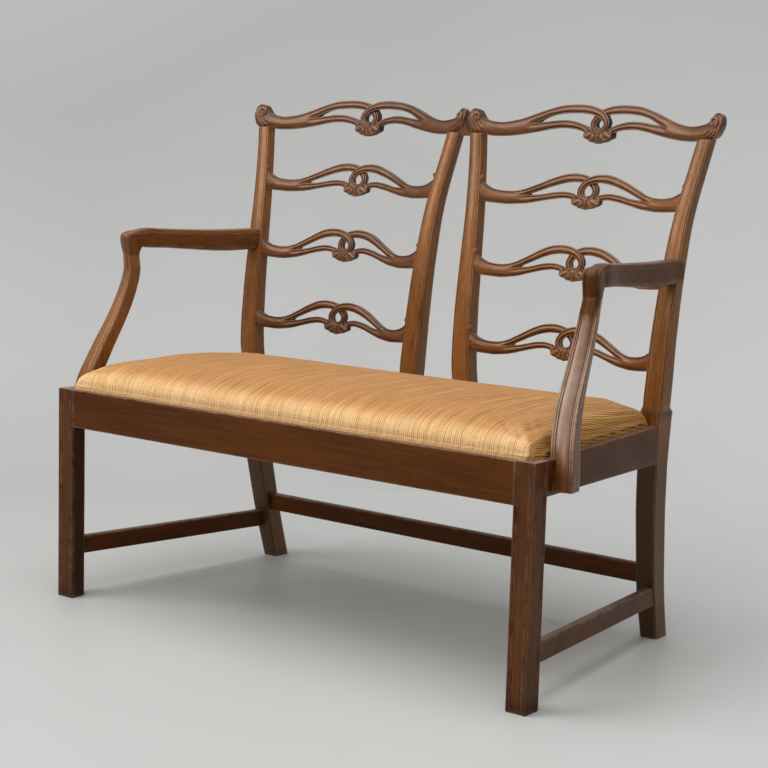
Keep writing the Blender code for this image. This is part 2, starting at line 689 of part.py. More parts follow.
def build_bridge(wood, carrier):
    """The small carved block that fills the space below the two centre ears."""
    front = back_surface(CREST_HEIGHT - CREST_SEAT_DROP) + BRIDGE_SET_BACK
    outline = [(out * BRIDGE_HALF_WIDTH, CREST_HEIGHT - BRIDGE_TOP_DROP - BRIDGE_HEIGHT * (1 - up))
               for out, up in BRIDGE_SHARES]
    outline += [(-x, z) for x, z in reversed(outline) if x > 0]
    rings = [[(x, y, z) for x, z in outline] for y in (front, front + BRIDGE_DEPTH)]
    add_piece("crest_bridge", loft("crest_bridge", rings), wood, carrier)


def front_leg_outline():
    """Plan of a front leg: two plain inner faces, and a bead, hollow and bead on the outer two."""
    side = FRONT_LEG_SIDE
    sink = FRONT_LEG_MOULDING
    inner = FRONT_HALF_SPAN - side
    outer = FRONT_HALF_SPAN
    face = [(side * place, sink * depth) for place, depth in LEG_FACE_SHARES]
    outline = [(inner + place, depth) for place, depth in face]
    outline.append((outer - sink, 0.0))
    outline.append((outer, sink))
    outline += [(outer - depth, side - place) for place, depth in reversed(face)]
    outline.append((inner + FRONT_LEG_INNER_CHAMFER, side))
    outline.append((inner, side - FRONT_LEG_INNER_CHAMFER))
    return outline


def build_front_legs(wood, carrier):
    """Square moulded legs, notched at the top for the corner of the drop-in seat."""
    outline = front_leg_outline()
    centre = FRONT_HALF_SPAN - FRONT_LEG_SIDE / 2
    middle = FRONT_LEG_SIDE / 2
    shrink = 1 - FRONT_LEG_FOOT_CHAMFER / middle
    foot = [(centre + (x - centre) * shrink, middle + (y - middle) * shrink, 0.0) for x, y in outline]
    above = [(x, y, FRONT_LEG_FOOT_CHAMFER) for x, y in outline]
    top = [(x, y, RAIL_TOP) for x, y in outline]
    low = RAIL_TOP - SEAT_REBATE_DEPTH
    near = RAIL_SET_BACK + FRONT_LIP
    far = FRONT_LEG_SIDE + OVERRUN
    inner = FRONT_HALF_SPAN - FRONT_LEG_SIDE - OVERRUN
    for side, sign in SIDES:
        rings = [mirrored(ring, sign) for ring in (foot, above, top)]
        leg = add_piece(f"front_leg_{side}", loft(f"front_leg_{side}", rings), wood, carrier)
        plan = ((inner, near), (side_rail_outer(near) - SIDE_LIP, near),
                (side_rail_outer(far) - SIDE_LIP, far), (inner, far))
        mesh = prism("notch", mirrored(plan, sign), low, RAIL_TOP + OVERRUN)
        notch = add_guide(f"seat_notch_{side}", mesh, carrier)
        combine(leg, notch, "DIFFERENCE")


def rail_section(lip, thickness, low):
    """A rail's section from its outer face inwards, with the seat's rebate."""
    shelf = RAIL_TOP - SEAT_REBATE_DEPTH
    return ((0.0, low), (0.0, RAIL_TOP), (lip, RAIL_TOP), (lip, shelf), (thickness, shelf),
            (thickness, low))


def side_rail_mesh(name, sign, grow=0.0):
    """A side rail with splayed ends, or the same a gap larger."""
    start = FRONT_LEG_SIDE + GAP - grow
    end = BACK_LEG_FRONT - GAP - STILE_CROWN + grow
    rings = []
    for y, low in ((start, SIDE_RAIL_FRONT_BOTTOM), (end, SIDE_RAIL_REAR_BOTTOM)):
        outer = side_rail_outer(y) + grow
        section = rail_section(SIDE_LIP, RAIL_THICKNESS, low - (OVERRUN if grow else 0.0))
        rings.append([(outer - inward, y, z + grow) for inward, z in section])
    return loft(name, [mirrored(ring, sign) for ring in rings])


def build_seat_rails(wood, carrier):
    """The four rails of the seat frame and the ledge that carries the back of the drop-in seat."""
    half = FRONT_HALF_SPAN - FRONT_LEG_SIDE - GAP
    section = rail_section(FRONT_LIP, RAIL_THICKNESS, RAIL_BOTTOM)
    rings = [[(x, RAIL_SET_BACK + y, z) for y, z in section] for x in (-half, half)]
    add_piece("front_seat_rail", loft("front_seat_rail", rings), wood, carrier)
    for side, sign in SIDES:
        add_piece(f"side_seat_rail_{side}", side_rail_mesh(f"side_seat_rail_{side}", sign), wood, carrier)
    half = BACK_HALF_SPAN - BACK_LEG_WIDTH - GAP
    front = BACK_LEG_FRONT
    low = (-half, front, RAIL_BOTTOM)
    high = (half, front + BACK_RAIL_THICKNESS, RAIL_TOP)
    add_piece("back_seat_rail", block("back_seat_rail", low, high), wood, carrier)
    shelf = RAIL_TOP - SEAT_REBATE_DEPTH
    inner = side_rail_outer(front) - RAIL_THICKNESS - BRACE_HEIGHT
    low = (-inner, front - GAP - LEDGE_WIDTH, shelf - LEDGE_HEIGHT)
    high = (inner, front - GAP, shelf)
    ledge = add_piece("seat_ledge", block("seat_ledge", low, high), wood, carrier)
    gap_half = BRACE_WIDTH / 2 + GAP
    slot = block("brace_slot", (-gap_half, low[1] - OVERRUN, low[2] - OVERRUN),
                 (gap_half, high[1] + OVERRUN, shelf - LEDGE_ABOVE_BRACE))
    combine(ledge, add_guide("brace_slot", slot, carrier), "DIFFERENCE")


def build_under_frame(wood, carrier):
    """Two side stretchers and one rear stretcher, with eased edges."""
    def bar(name, near, far, height, across):
        """A bar from one point to another. Across is its thickness direction in plan."""
        edge = STRETCHER_CHAMFER
        half = height / 2
        section = ((0.0, -half), (0.0, half - edge), (edge, half), (STRETCHER_THICKNESS - edge, half),
                   (STRETCHER_THICKNESS, half - edge), (STRETCHER_THICKNESS, -half))
        rings = [[(x + across[0] * side, y + across[1] * side, z + up) for side, up in section]
                 for x, y, z in (near, far)]
        return loft(name, rings)

    leg_share = SIDE_STRETCHER_REAR / RAIL_BOTTOM
    spread = read_rows(BACK_LEG_SHARES, leg_share)[0]
    outer = mix(BACK_HALF_SPAN, BACK_FOOT_HALF_SPAN, spread) - STRETCHER_INSET
    high_share = (SIDE_STRETCHER_REAR - SIDE_STRETCHER_HEIGHT / 2) / RAIL_BOTTOM
    rear = BACK_LEG_FRONT + BACK_FOOT_RAKE * read_rows(BACK_LEG_SHARES, high_share)[1] + OVERRUN
    for side, sign in SIDES:
        near = (sign * (FRONT_HALF_SPAN - STRETCHER_INSET), FRONT_LEG_SIDE + GAP, SIDE_STRETCHER_FRONT)
        far = (sign * outer, rear, SIDE_STRETCHER_REAR)
        mesh = bar("bar", near, far, SIDE_STRETCHER_HEIGHT, (-sign, 0.0))
        piece = add_piece(f"side_stretcher_{side}", mesh, wood, carrier)
        combine(piece, bpy.data.objects[f"fit_back_leg_{side}"], "DIFFERENCE")
    share = REAR_STRETCHER_CENTRE / RAIL_BOTTOM
    spread, rake, width = read_rows(BACK_LEG_SHARES, share)[:3]
    half = mix(BACK_HALF_SPAN, BACK_FOOT_HALF_SPAN, spread) - mix(BACK_FOOT_WIDTH, BACK_LEG_WIDTH, width)
    front = BACK_LEG_FRONT + BACK_FOOT_RAKE * rake + (BACK_FOOT_DEPTH - STRETCHER_THICKNESS) / 2
    near = (-half - OVERRUN, front, REAR_STRETCHER_CENTRE)
    far = (half + OVERRUN, front, REAR_STRETCHER_CENTRE)
    mesh = bar("bar", near, far, REAR_STRETCHER_HEIGHT, (0.0, 1.0))
    piece = add_piece("rear_stretcher", mesh, wood, carrier)
    for side, sign in SIDES:
        combine(piece, bpy.data.objects[f"fit_back_leg_{side}"], "DIFFERENCE")


def build_blocks_and_brace(wood, carrier):
    """Glued corner blocks below the seat, and the brace from front rail to back rail."""
    shelf = RAIL_TOP - SEAT_REBATE_DEPTH
    high = shelf - CORNER_BLOCK_DROP
    low = high - CORNER_BLOCK_HEIGHT
    front_face = RAIL_SET_BACK + RAIL_THICKNESS + GAP
    back_face = BACK_LEG_FRONT - GAP
    leg_inner = FRONT_HALF_SPAN - FRONT_LEG_SIDE
    back_inner = BACK_HALF_SPAN - BACK_LEG_WIDTH

    def inner(y):
        return side_rail_outer(y) - RAIL_THICKNESS - GAP

    for side, sign in SIDES:
        near = leg_inner - CORNER_BLOCK_CLEAR
        depth = FRONT_LEG_SIDE + CORNER_BLOCK_CLEAR
        outline = ((near - CORNER_BLOCK_LEG, front_face), (near, front_face), (near, depth),
                   (inner(depth), depth), (inner(depth + CORNER_BLOCK_LEG), depth + CORNER_BLOCK_LEG))
        mesh = prism("block", mirrored(outline, sign), low, high)
        add_piece(f"corner_block_front_{side}", mesh, wood, carrier)
        near = back_inner + CORNER_BLOCK_CLEAR
        depth = back_face - LEDGE_WIDTH - GAP
        outline = ((near - CORNER_BLOCK_LEG, depth), (inner(depth), depth),
                   (inner(depth - CORNER_BLOCK_LEG), depth - CORNER_BLOCK_LEG))
        mesh = prism("block", mirrored(outline, sign), low, high)
        add_piece(f"corner_block_back_{side}", mesh, wood, carrier)
    top = shelf - LEDGE_ABOVE_BRACE - GAP
    mesh = block("brace", (-BRACE_WIDTH / 2, front_face, top - BRACE_HEIGHT),
                 (BRACE_WIDTH / 2, back_face, top))
    add_piece("seat_brace", mesh, wood, carrier)


def turned_ring(centre, front, rear, width, turn, edge, pivot=None):
    """A ring of eight points between a front and a rear line, turned in plan about the pivot."""
    half = width / 2
    run = Vector((rear[0] - front[0], rear[1] - front[1]))
    step = run.normalized() * edge
    side_in = ((-half + edge, 0.0), (half - edge, 0.0), (half, 1.0), (half, -1.0))
    ring = []
    for across, end in ((side_in[0], 0), (side_in[1], 0), (side_in[2], 0), (side_in[3], 1),
                        (side_in[1], 1), (side_in[0], 1), ((-half, -1.0), 1), ((-half, 1.0), 0)):
        base = Vector(front) if end == 0 else Vector(rear)
        place = base + step * across[1]
        start = front[0] if pivot is None else pivot
        back = place.x - start
        ring.append((centre + across[0] * math.cos(turn) - back * math.sin(turn),
                     start + across[0] * math.sin(turn) + back * math.cos(turn), place.y))
    return ring


def arm_mesh(name, sign):
    """An arm, from its lap on the stile to the scarf below the knuckle."""
    length = ARM_REAR_END - ARM_KNUCKLE_FRONT
    rows = []
    for share in ARM_COLUMN_SHARES:
        spread, wide, hump, tall = read_rows(ARM_SHARES, share)
        ahead = min(share + ARM_SLOPE_SHARE, 1.0)
        behind = max(share - ARM_SLOPE_SHARE, 0.0)
        rise = read_rows(ARM_SHARES, ahead)[0] - read_rows(ARM_SHARES, behind)[0]
        slope = rise / (ahead - behind)
        turn = math.atan(slope * (ARM_FRONT_HALF_SPAN - ARM_REAR_HALF_SPAN) / length)
        centre = mix(ARM_REAR_HALF_SPAN, ARM_FRONT_HALF_SPAN, spread)
        width = mix(ARM_FRONT_WIDTH, ARM_REAR_WIDTH, wide)
        y = ARM_REAR_END - length * share
        top = ARM_TOP + ARM_HUMP * hump
        under = top - mix(ARM_FRONT_HEIGHT, ARM_REAR_HEIGHT, tall)
        rows.append((centre, (y, top), (y, under), width, turn, ARM_EDGE))
    last = len(KNUCKLE_SHARES) - 1
    for k, (out, up, under_out, under_up) in enumerate(KNUCKLE_SHARES):
        turn = mix(rows[len(ARM_COLUMN_SHARES) - 1][4], SUPPORT_HEAD_TURN, (k + 1) / (last + 1))
        front = (ARM_KNUCKLE_FRONT + out * ARM_KNUCKLE_DEPTH, ARM_SCARF + up * KNUCKLE_HEIGHT)
        rear = (ARM_KNUCKLE_FRONT + under_out * ARM_KNUCKLE_DEPTH, ARM_SCARF + under_up * KNUCKLE_HEIGHT)
        row = (ARM_FRONT_HALF_SPAN, front, rear, ARM_FRONT_WIDTH, turn, ARM_EDGE)
        rows.append((*row, ARM_KNUCKLE_FRONT))
    rings = [mirrored(turned_ring(*row), sign) for row in rows]
    return loft(name, rings)


def support_mesh(name, sign):
    """An arm support: it leans forward and down from the knuckle to lap the side rail."""
    rings = []
    head = ARM_SCARF - GAP
    for share, sweep, spread, wide in SUPPORT_SHARES:
        z = mix(SUPPORT_FOOT, head, share)
        front = SUPPORT_FOOT_FRONT + SUPPORT_SWEEP * sweep
        width = mix(ARM_FRONT_WIDTH, SUPPORT_FOOT_WIDTH, wide)
        depth = mix(SUPPORT_FOOT_DEPTH, SUPPORT_HEAD_DEPTH, share)
        turn = mix(SUPPORT_FOOT_TURN, SUPPORT_HEAD_TURN, share)
        centre = ARM_FRONT_HALF_SPAN - SUPPORT_LAP / 2 + SUPPORT_SPREAD * spread
        if share == SUPPORT_SHARES[-1][0]:
            centre = ARM_FRONT_HALF_SPAN
        row = (centre, (front, z), (front + depth, z), width, turn, SUPPORT_EDGE)
        rings.append(mirrored(turned_ring(*row), sign))
    return loft(name, rings)


def build_arms(wood, carrier):
    """Arms lapped on the back legs, and supports notched over the side rails."""
    for side, sign in SIDES:
        arm = add_piece(f"arm_{side}", arm_mesh(f"arm_{side}", sign), wood, carrier)
        combine(arm, bpy.data.objects[f"fit_back_leg_{side}"], "DIFFERENCE")
        support = add_piece(f"arm_support_{side}", support_mesh(f"arm_support_{side}", sign), wood, carrier)
        fit = add_guide(f"fit_side_rail_{side}", side_rail_mesh("fit_rail", sign, GAP), carrier)
        combine(support, fit, "DIFFERENCE")


def seat_edge(y, inset):
    """Half width of the drop-in seat at a depth."""
    return side_rail_outer(y) - SIDE_LIP - SEAT_CLEARANCE - inset


def seat_ring(inset, z):
    """A ring round the seat's plan: splayed sides and rounded corners, drawn in by the inset."""
    front = RAIL_SET_BACK + FRONT_LIP + SEAT_CLEARANCE + inset
    back = SEAT_BACK_EDGE - inset
    spread = min(inset, back - front) * CORNER_SHARE
    radius = max(SEAT_CORNER_RADIUS, spread)
    back_radius = max(SEAT_BACK_RADIUS, spread)
    ring = []

    def corner(centre_x, centre_y, start, size):
        for k in range(SEAT_CORNER_STEPS + 1):
            angle = start + math.pi / 2 * k / SEAT_CORNER_STEPS
            ring.append((centre_x + size * math.cos(angle), centre_y + size * math.sin(angle), z))

    def side(start, end, steps):
        for k in range(1, steps):
            share = k / steps
            ring.append((mix(start[0], end[0], share), mix(start[1], end[1], share), z))

    front_x = seat_edge(front + radius, inset) - radius
    back_x = seat_edge(back - back_radius, inset) - back_radius
    front_y = front + radius
    back_y = back - back_radius
    corner(front_x, front_y, -math.pi / 2, radius)
    side((front_x + radius, front_y), (back_x + back_radius, back_y), SEAT_END_STEPS)
    corner(back_x, back_y, 0.0, back_radius)
    side((back_x, back), (-back_x, back), SEAT_SIDE_STEPS)
    corner(-back_x, back_y, math.pi / 2, back_radius)
    side((-back_x - back_radius, back_y), (-front_x - radius, front_y), SEAT_END_STEPS)
    corner(-front_x, front_y, math.pi, radius)
    side((-front_x, front), (front_x, front), SEAT_SIDE_STEPS)
    return ring


def settle(ring):
    """Lower a ring of the crown a little towards the back of the seat."""
    settled = []
    for x, y, z in ring:
        share = min(max(y / SEAT_BACK_EDGE, 0.0), 1.0)
        rise = max(z - RAIL_TOP, 0.0)
        settled.append((x, y, z - rise * CROWN_BACK_FALL_SHARE * share * share))
    return settled


def cushion_rings(shrink, low):
    """Rings from the lower edge up over the crown, drawn in all round by a skin's thickness."""
    half_depth = (SEAT_BACK_EDGE - FRONT_LIP) / 2
    rings = []
    for inset, up, bulge in COVER_SHARES:
        z = RAIL_TOP + CROWN_EDGE_HEIGHT * up if up >= 0 else low
        side = half_depth * inset - CROWN_BULGE * bulge + shrink
        rings.append(seat_ring(side, z - shrink * min(max(up, 0.0), 1.0)))
    for inset, up in CROWN_SHARES:
        z = RAIL_TOP + mix(CROWN_EDGE_HEIGHT, CROWN_HEIGHT, up) - shrink
        rings.append(seat_ring(half_depth * inset + shrink, z))
    return [settle(ring) for ring in rings]


def cover_mesh(name):
    """The seat cover: a skin over the crown, turned down round the seat frame, open below."""
    low = RAIL_TOP - SEAT_REBATE_DEPTH + GAP
    outer = cushion_rings(0.0, low)
    inner = cushion_rings(COVER_THICKNESS, low)
    mesh = bmesh.new()
    outside = [[mesh.verts.new(point) for point in ring] for ring in outer]
    inside = [[mesh.verts.new(point) for point in ring] for ring in inner]
    for skin in (outside, inside):
        for ring, other in zip(skin, skin[1:]):
            bridge(mesh, ring, other)
        mesh.faces.new(skin[-1])
    bridge(mesh, inside[0], outside[0])
    return close_mesh(mesh, name)


def build_seat(wood, cloth, webbing, base, stuffing, carrier):
    """The drop-in seat: a jointed frame, webbing, base cloth, stuffing and cover."""
    skin = COVER_THICKNESS + GAP
    low = RAIL_TOP - SEAT_REBATE_DEPTH + GAP
    high = low + SEAT_FRAME_THICKNESS
    front = RAIL_SET_BACK + FRONT_LIP + SEAT_CLEARANCE + skin
    back = SEAT_BACK_EDGE - skin
    ease = SEAT_CORNER_RADIUS

    def edge(y):
        return seat_edge(y, skin)

    inner_front = front + SEAT_FRAME_WIDTH
    inner_back = back - SEAT_FRAME_WIDTH
    corner = edge(front + ease) - ease
    outline = ((-corner, front), (corner, front), (edge(front + ease), front + ease),
               (edge(inner_front), inner_front), (-edge(inner_front), inner_front),
               (-edge(front + ease), front + ease))
    add_piece("seat_frame_front", prism("rail", outline, low, high), wood, carrier)
    ease = SEAT_BACK_RADIUS
    corner = edge(back - ease) - ease
    outline = ((-corner, back), (corner, back), (edge(back - ease), back - ease),
               (edge(inner_back), inner_back), (-edge(inner_back), inner_back),
               (-edge(back - ease), back - ease))
    add_piece("seat_frame_back", prism("rail", outline, low, high), wood, carrier)
    start = inner_front + GAP
    end = inner_back - GAP
    for side, sign in SIDES:
        outline = ((edge(start), start), (edge(end), end), (edge(end) - SEAT_FRAME_WIDTH, end),
                   (edge(start) - SEAT_FRAME_WIDTH, start))
        add_piece(f"seat_frame_{side}", prism("rail", mirrored(outline, sign), low, high), wood, carrier)
    half = SEAT_FRAME_WIDTH / 2
    add_piece("seat_frame_bar", block("bar", (-half, start, low), (half, end, high)), wood, carrier)
    build_webbing(webbing, carrier, high + GAP)
    level = high + GAP + WEBBING_THICKNESS + GAP
    cloth_low = seat_ring(skin + OVERRUN, level)
    cloth_high = seat_ring(skin + OVERRUN, level + BASE_CLOTH_THICKNESS)
    add_piece("base_cloth", loft("base_cloth", [cloth_low, cloth_high]), base, carrier)
    level += BASE_CLOTH_THICKNESS + GAP
    rings = [ring for ring in cushion_rings(skin, low) if ring[0][2] > level + STUFFING_EDGE]
    rings.insert(0, seat_ring(skin, level))
    add_piece("seat_stuffing", loft("seat_stuffing", rings), stuffing, carrier)
    add_piece("seat_cover", cover_mesh("seat_cover"), cloth, carrier)


def build_webbing(material, carrier, low):
    """Webbing stretched both ways over the frame, drawn as one lattice."""
    high = low + WEBBING_THICKNESS
    front = RAIL_SET_BACK + FRONT_LIP + SEAT_CLEARANCE + COVER_THICKNESS + OVERRUN
    back = SEAT_BACK_EDGE - COVER_THICKNESS - OVERRUN
    half_span = seat_edge(back, COVER_THICKNESS) - OVERRUN - SEAT_CORNER_RADIUS
    strip = WEBBING_WIDTH / 2
    end = half_span - WEBBING_WIDTH * WEBBING_END_SHARE
    side = WEBBING_WIDTH * WEBBING_SIDE_SHARE
    xs = [mix(-end, end, k / (WEBBING_CROSS_COUNT - 1)) for k in range(WEBBING_CROSS_COUNT)]
    ys = [mix(front + side, back - side, k / (WEBBING_LONG_COUNT - 1))
          for k in range(WEBBING_LONG_COUNT)]
    mesh = bmesh.new()
    lines_x = sorted([-half_span, half_span] + [x + s * strip for x in xs for s in (-1, 1)])
    lines_y = sorted([front, back] + [y + s * strip for y in ys for s in (-1, 1)])

    def filled(column, row):
        x = (lines_x[column] + lines_x[column + 1]) / 2
        y = (lines_y[row] + lines_y[row + 1]) / 2
        return any(abs(x - c) < strip for c in xs) or any(abs(y - c) < strip for c in ys)

    grid = {}

    def vert(column, row, level):
        key = (column, row, level)
        if key not in grid:
            z = high if level else low
            grid[key] = mesh.verts.new((lines_x[column], lines_y[row], z))
        return grid[key]

    for column in range(len(lines_x) - 1):
        for row in range(len(lines_y) - 1):
            if not filled(column, row):
                continue
            corners = ((column, row), (column + 1, row), (column + 1, row + 1), (column, row + 1))
            for level in (0, 1):
                mesh.faces.new([vert(*corner, level) for corner in corners])
            neighbours = ((column, row - 1), (column + 1, row), (column, row + 1), (column - 1, row))
            for k, (near_column, near_row) in enumerate(neighbours):
                inside = 0 <= near_column < len(lines_x) - 1 and 0 <= near_row < len(lines_y) - 1
                if inside and filled(near_column, near_row):
                    continue
                first = corners[k]
                second = corners[(k + 1) % 4]
                mesh.faces.new((vert(*first, 0), vert(*second, 0), vert(*second, 1), vert(*first, 1)))
    add_piece("webbing", close_mesh(mesh, "webbing"), material, carrier)


def centre_on_origin(root):
    """Slide the whole settee along Y until its box is centred on the origin."""
    bpy.context.view_layer.update()
    graph = bpy.context.evaluated_depsgraph_get()
    low = math.inf
    high = -math.inf
    for item in bpy.data.objects:
        if item.type != "MESH" or item.hide_render:
            continue
        shape = item.evaluated_get(graph)
        for corner in shape.data.vertices:
            y = (shape.matrix_world @ corner.co).y
            low = min(low, y)
            high = max(high, y)
    root.location.y = -(low + high) / 2


def main():
    """Build the settee, seat and frame, and centre it."""
    clear_scene()
    root = bpy.data.objects.new("settee_origin", None)
    bpy.context.scene.collection.objects.link(root)
    lift = bpy.data.objects.new("drop_in_seat_lift", None)
    bpy.context.scene.collection.objects.link(lift)
    lift.parent = root
    lift.location = (0.0, (FRONT_LIP + SEAT_BACK_EDGE) / 2, RAIL_TOP)
    bpy.context.view_layer.update()

    dark = finish_material("rail mahogany", (0.075, 0.030, 0.014), 0.38)
    red = finish_material("leg mahogany", (0.110, 0.040, 0.018), 0.36)
    warm = finish_material("back mahogany", (0.180, 0.070, 0.028), 0.34)
    plain = finish_material("seat frame beech", (0.420, 0.280, 0.150), 0.60)
    cloth = finish_material("ochre ribbed cloth", (0.560, 0.330, 0.140), 0.92)
    jute = finish_material("jute webbing", (0.380, 0.270, 0.150), 0.90)
    hessian = finish_material("hessian", (0.450, 0.340, 0.200), 0.95)
    hair = finish_material("hair stuffing", (0.160, 0.110, 0.080), 0.95)

    cutters = build_back_legs_and_stiles(warm, root)
    build_front_legs(red, root)
    build_seat_rails(dark, root)
    build_under_frame(dark, root)
    build_blocks_and_brace(plain, root)
    build_ladders(warm, root, cutters)
    build_bridge(warm, root)
    build_arms(warm, root)
    build_seat(plain, cloth, jute, hessian, hair, lift)
    centre_on_origin(root)


main()
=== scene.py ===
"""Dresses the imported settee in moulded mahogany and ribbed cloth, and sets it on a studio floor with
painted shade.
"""

import json
import math

import bmesh
import bpy
import numpy as np
from mathutils import Matrix, Vector

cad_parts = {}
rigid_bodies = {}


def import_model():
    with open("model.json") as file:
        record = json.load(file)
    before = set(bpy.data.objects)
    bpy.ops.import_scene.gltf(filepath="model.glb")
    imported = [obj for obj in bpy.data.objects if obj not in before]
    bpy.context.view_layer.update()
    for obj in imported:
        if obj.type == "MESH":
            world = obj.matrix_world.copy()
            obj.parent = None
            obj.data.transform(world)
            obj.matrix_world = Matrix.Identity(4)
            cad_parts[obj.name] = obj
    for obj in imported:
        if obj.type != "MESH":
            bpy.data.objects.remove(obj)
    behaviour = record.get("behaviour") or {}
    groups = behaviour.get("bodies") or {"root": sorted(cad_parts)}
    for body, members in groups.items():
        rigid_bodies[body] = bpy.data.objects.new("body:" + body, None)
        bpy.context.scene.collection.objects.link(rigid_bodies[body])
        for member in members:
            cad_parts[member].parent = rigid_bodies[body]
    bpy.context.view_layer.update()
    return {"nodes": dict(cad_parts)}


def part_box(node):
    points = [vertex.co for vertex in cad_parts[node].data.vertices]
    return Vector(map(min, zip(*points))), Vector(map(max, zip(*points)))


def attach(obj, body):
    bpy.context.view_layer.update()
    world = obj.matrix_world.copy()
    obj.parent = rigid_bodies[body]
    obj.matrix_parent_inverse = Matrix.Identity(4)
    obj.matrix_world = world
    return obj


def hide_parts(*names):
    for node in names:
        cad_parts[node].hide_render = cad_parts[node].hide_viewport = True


bl_info = {
    "name": "Ladder Back Settee",
    "version": (1, 0, 0),
    "blender": (4, 5, 0),
    "location": "View3D > Sidebar > Settee",
    "description": "Models and finishes a two-seat settee with pierced ladder backs",
    "category": "Add Mesh",
}

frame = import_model()

# The settee's sizes in metres. Depths in these values start at the front legs' front face.
FRONT_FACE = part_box("front_leg_left")[0].y
RAIL_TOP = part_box("back_seat_rail")[1].z
RAIL_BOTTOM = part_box("back_seat_rail")[0].z
SEAT_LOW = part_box("seat_cover")[0].z
FILLING_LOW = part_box("seat_stuffing")[0].z
BASE_CLOTH_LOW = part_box("base_cloth")[0].z
WEBBING_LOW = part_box("webbing")[0].z
WEBBING_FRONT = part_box("webbing")[0].y - FRONT_FACE
WEBBING_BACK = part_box("webbing")[1].y - FRONT_FACE
WEBBING_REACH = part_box("webbing")[1].x
SIDES = (("left", -1), ("right", 1))
JOINT_GAP = 0.0003
FRONT_HALF_SPAN = 0.558
FRONT_LEG_SIDE = 0.040
FRONT_LEG_SINK = 0.0022
FRONT_LEG_CHAMFER = (0.0095, 0.0065, 0.0030)
FRONT_LEG_PLAIN = 0.012
FRONT_LEG_STEP = 0.02
FRONT_LEG_SOLE = ((0.0, 0.93), (0.0011, 0.975), (0.0028, 1.0), (0.008, 1.0))
FRONT_LEG_HEAD = ((0.0045, 1.0), (0.0009, 0.999), (0.0, 0.985))
NOTCH_OVERRUN = 0.005
RAIL_SET_BACK = 0.0015
RAIL_THICKNESS = 0.030
BACK_RAIL_THICKNESS = 0.034
RAIL_ROUND = 0.0012
RAIL_STEP = 0.03
SIDE_RAIL_BACK_GAP = 0.0015
SEAT_REBATE = 0.022
FRONT_LIP = 0.013
SIDE_LIP = 0.017
SIDE_RAIL_LOWS = (0.3600, 0.3495)
BACK_HALF_SPAN = 0.511
BACK_LEG_FRONT = 0.488
BACK_FOOT_HALF_SPAN = 0.494
BACK_FOOT_RAKE = 0.064
BACK_FOOT_SIZE = (0.036, 0.041)
BACK_LEG_SIZE = (0.042, 0.043)
BACK_LEG_STEP = 0.010
BACK_LEG_CROWN = 0.0004
STILE_STEP = 0.008
SHOULDER = (0.0530, 0.021, 0.032)
RAIL_JOINT_DEPTH = 0.0495
STRETCHER_THICKNESS = 0.0170
STRETCHER_INSET = 0.003
STRETCHER_ROUNDS = (0.0042, 0.0010)
SIDE_STRETCHER_TENON = 0.004
REAR_STRETCHER_TENON = 0.003
SIDE_STRETCHER = (0.0355, 0.0990, 0.0885)
REAR_STRETCHER = (0.0360, 0.1275)
BACK_CENTRE = 0.281
STILE_FOOT = (0.2115, 0.0410, 0.0345)
HEAD_REACH = 0.2535
STILE_RAKE = 0.079
OUTER_STILE_SET_IN = 0.003
CREST_HEIGHT = 0.9656
CREST_REACH = 0.2805
CREST_RISE = 0.036
CREST_DEPTH = 0.018
CREST_BOW = 0.045
CREST_SEAT_DROP = 0.0245
EAR_START = 0.2405
CENTRE_EAR_SHARE = 0.88
STILE_RISE = CREST_HEIGHT - CREST_SEAT_DROP - RAIL_TOP
SLATS = (("upper", 0.8366, 0.0385, 0.0005, 1), ("middle", 0.7000, 0.0320, 0.0055, -1),
         ("lower", 0.5490, 0.0310, 0.0050, 1))
SLAT_PATTERN_REACH = 0.220
SLAT_RISE = 0.033
SLAT_DEPTH = 0.0125
SLAT_SET_BACK = 0.0030
SLAT_TENON = 0.0045
KNOT_HALF_WIDTH = 0.040
CARVING_STEP = 0.0014
RIBBON_FULL_WIDTH = 0.0145
RIBBON_CROWN_SHARE = 0.70
RIBBON_TURN_REACH = 0.016
RIBBON_TAPER_REACH = 0.008
FORK_EDGE_REACH = 0.020
FORK_BEND_REACH = 0.012
BROAD_CROWN_INSET = 0.005
LOWER_RIBBON_SINK = 0.0006
RIBBON_TAPER = 0.0028
RIBBON_OVER = 0.0026
RIBBON_UNDER = 0.0016
ARM_KNUCKLE_FRONT = 0.1655
KNUCKLE_DEPTH = 0.0250
ARM_SPANS = (0.5072, 0.5462)
ARM_REAR_END = 0.5275
ARM_TOP = 0.7203
ARM_HUMP = 0.0065
ARM_KNUCKLE_TOP = 0.7225
ARM_HEIGHTS = (0.030, 0.042)
ARM_WIDTHS = (0.031, 0.036)
ARM_SCARF = 0.6760
SUPPORT_FOOT = 0.3665
SUPPORT_FOOT_FRONT = 0.046
SUPPORT_FOOT_SIZE = (0.041, 0.034)
SUPPORT_HEAD_DEPTH = 0.0245
SUPPORT_LAP = 0.006
SUPPORT_SWEEP = 0.1245
SUPPORT_SPREAD = 0.0255
SUPPORT_TURNS = (math.radians(6), math.radians(22))
SEAT_CLEARANCE = 0.0012
SEAT_BACK_EDGE = 0.4850
SEAT_RADII = (0.016, 0.007)
CROWN_HEIGHT = 0.056
CROWN_EDGE = 0.041
CROWN_BACK_FALL = 0.12
SKIRT = ((0.0004, FILLING_LOW + 0.0030), (0.0004, SEAT_LOW + 0.0008), (0.0009, SEAT_LOW),
         (0.0016, SEAT_LOW + 0.0008), (0.0016, FILLING_LOW + 0.0030))
SEAT_UNDERSIDE_INSETS = (0.03, 0.008)
SEAT_BULGE = 0.0010
SEAT_STEP = 0.006
LIP_FADE = (0.047, 0.027)
TACKED_HEIGHT = 0.004
SWELL_PRESSURE = 4.0
SWELL_FRAMES = 20
WEBBING_WIDTH = 0.050
WEBBING_THICKNESS = 0.0010
WEBBING_SHIFT = 0.0006
WEBBING_STEP = 0.008
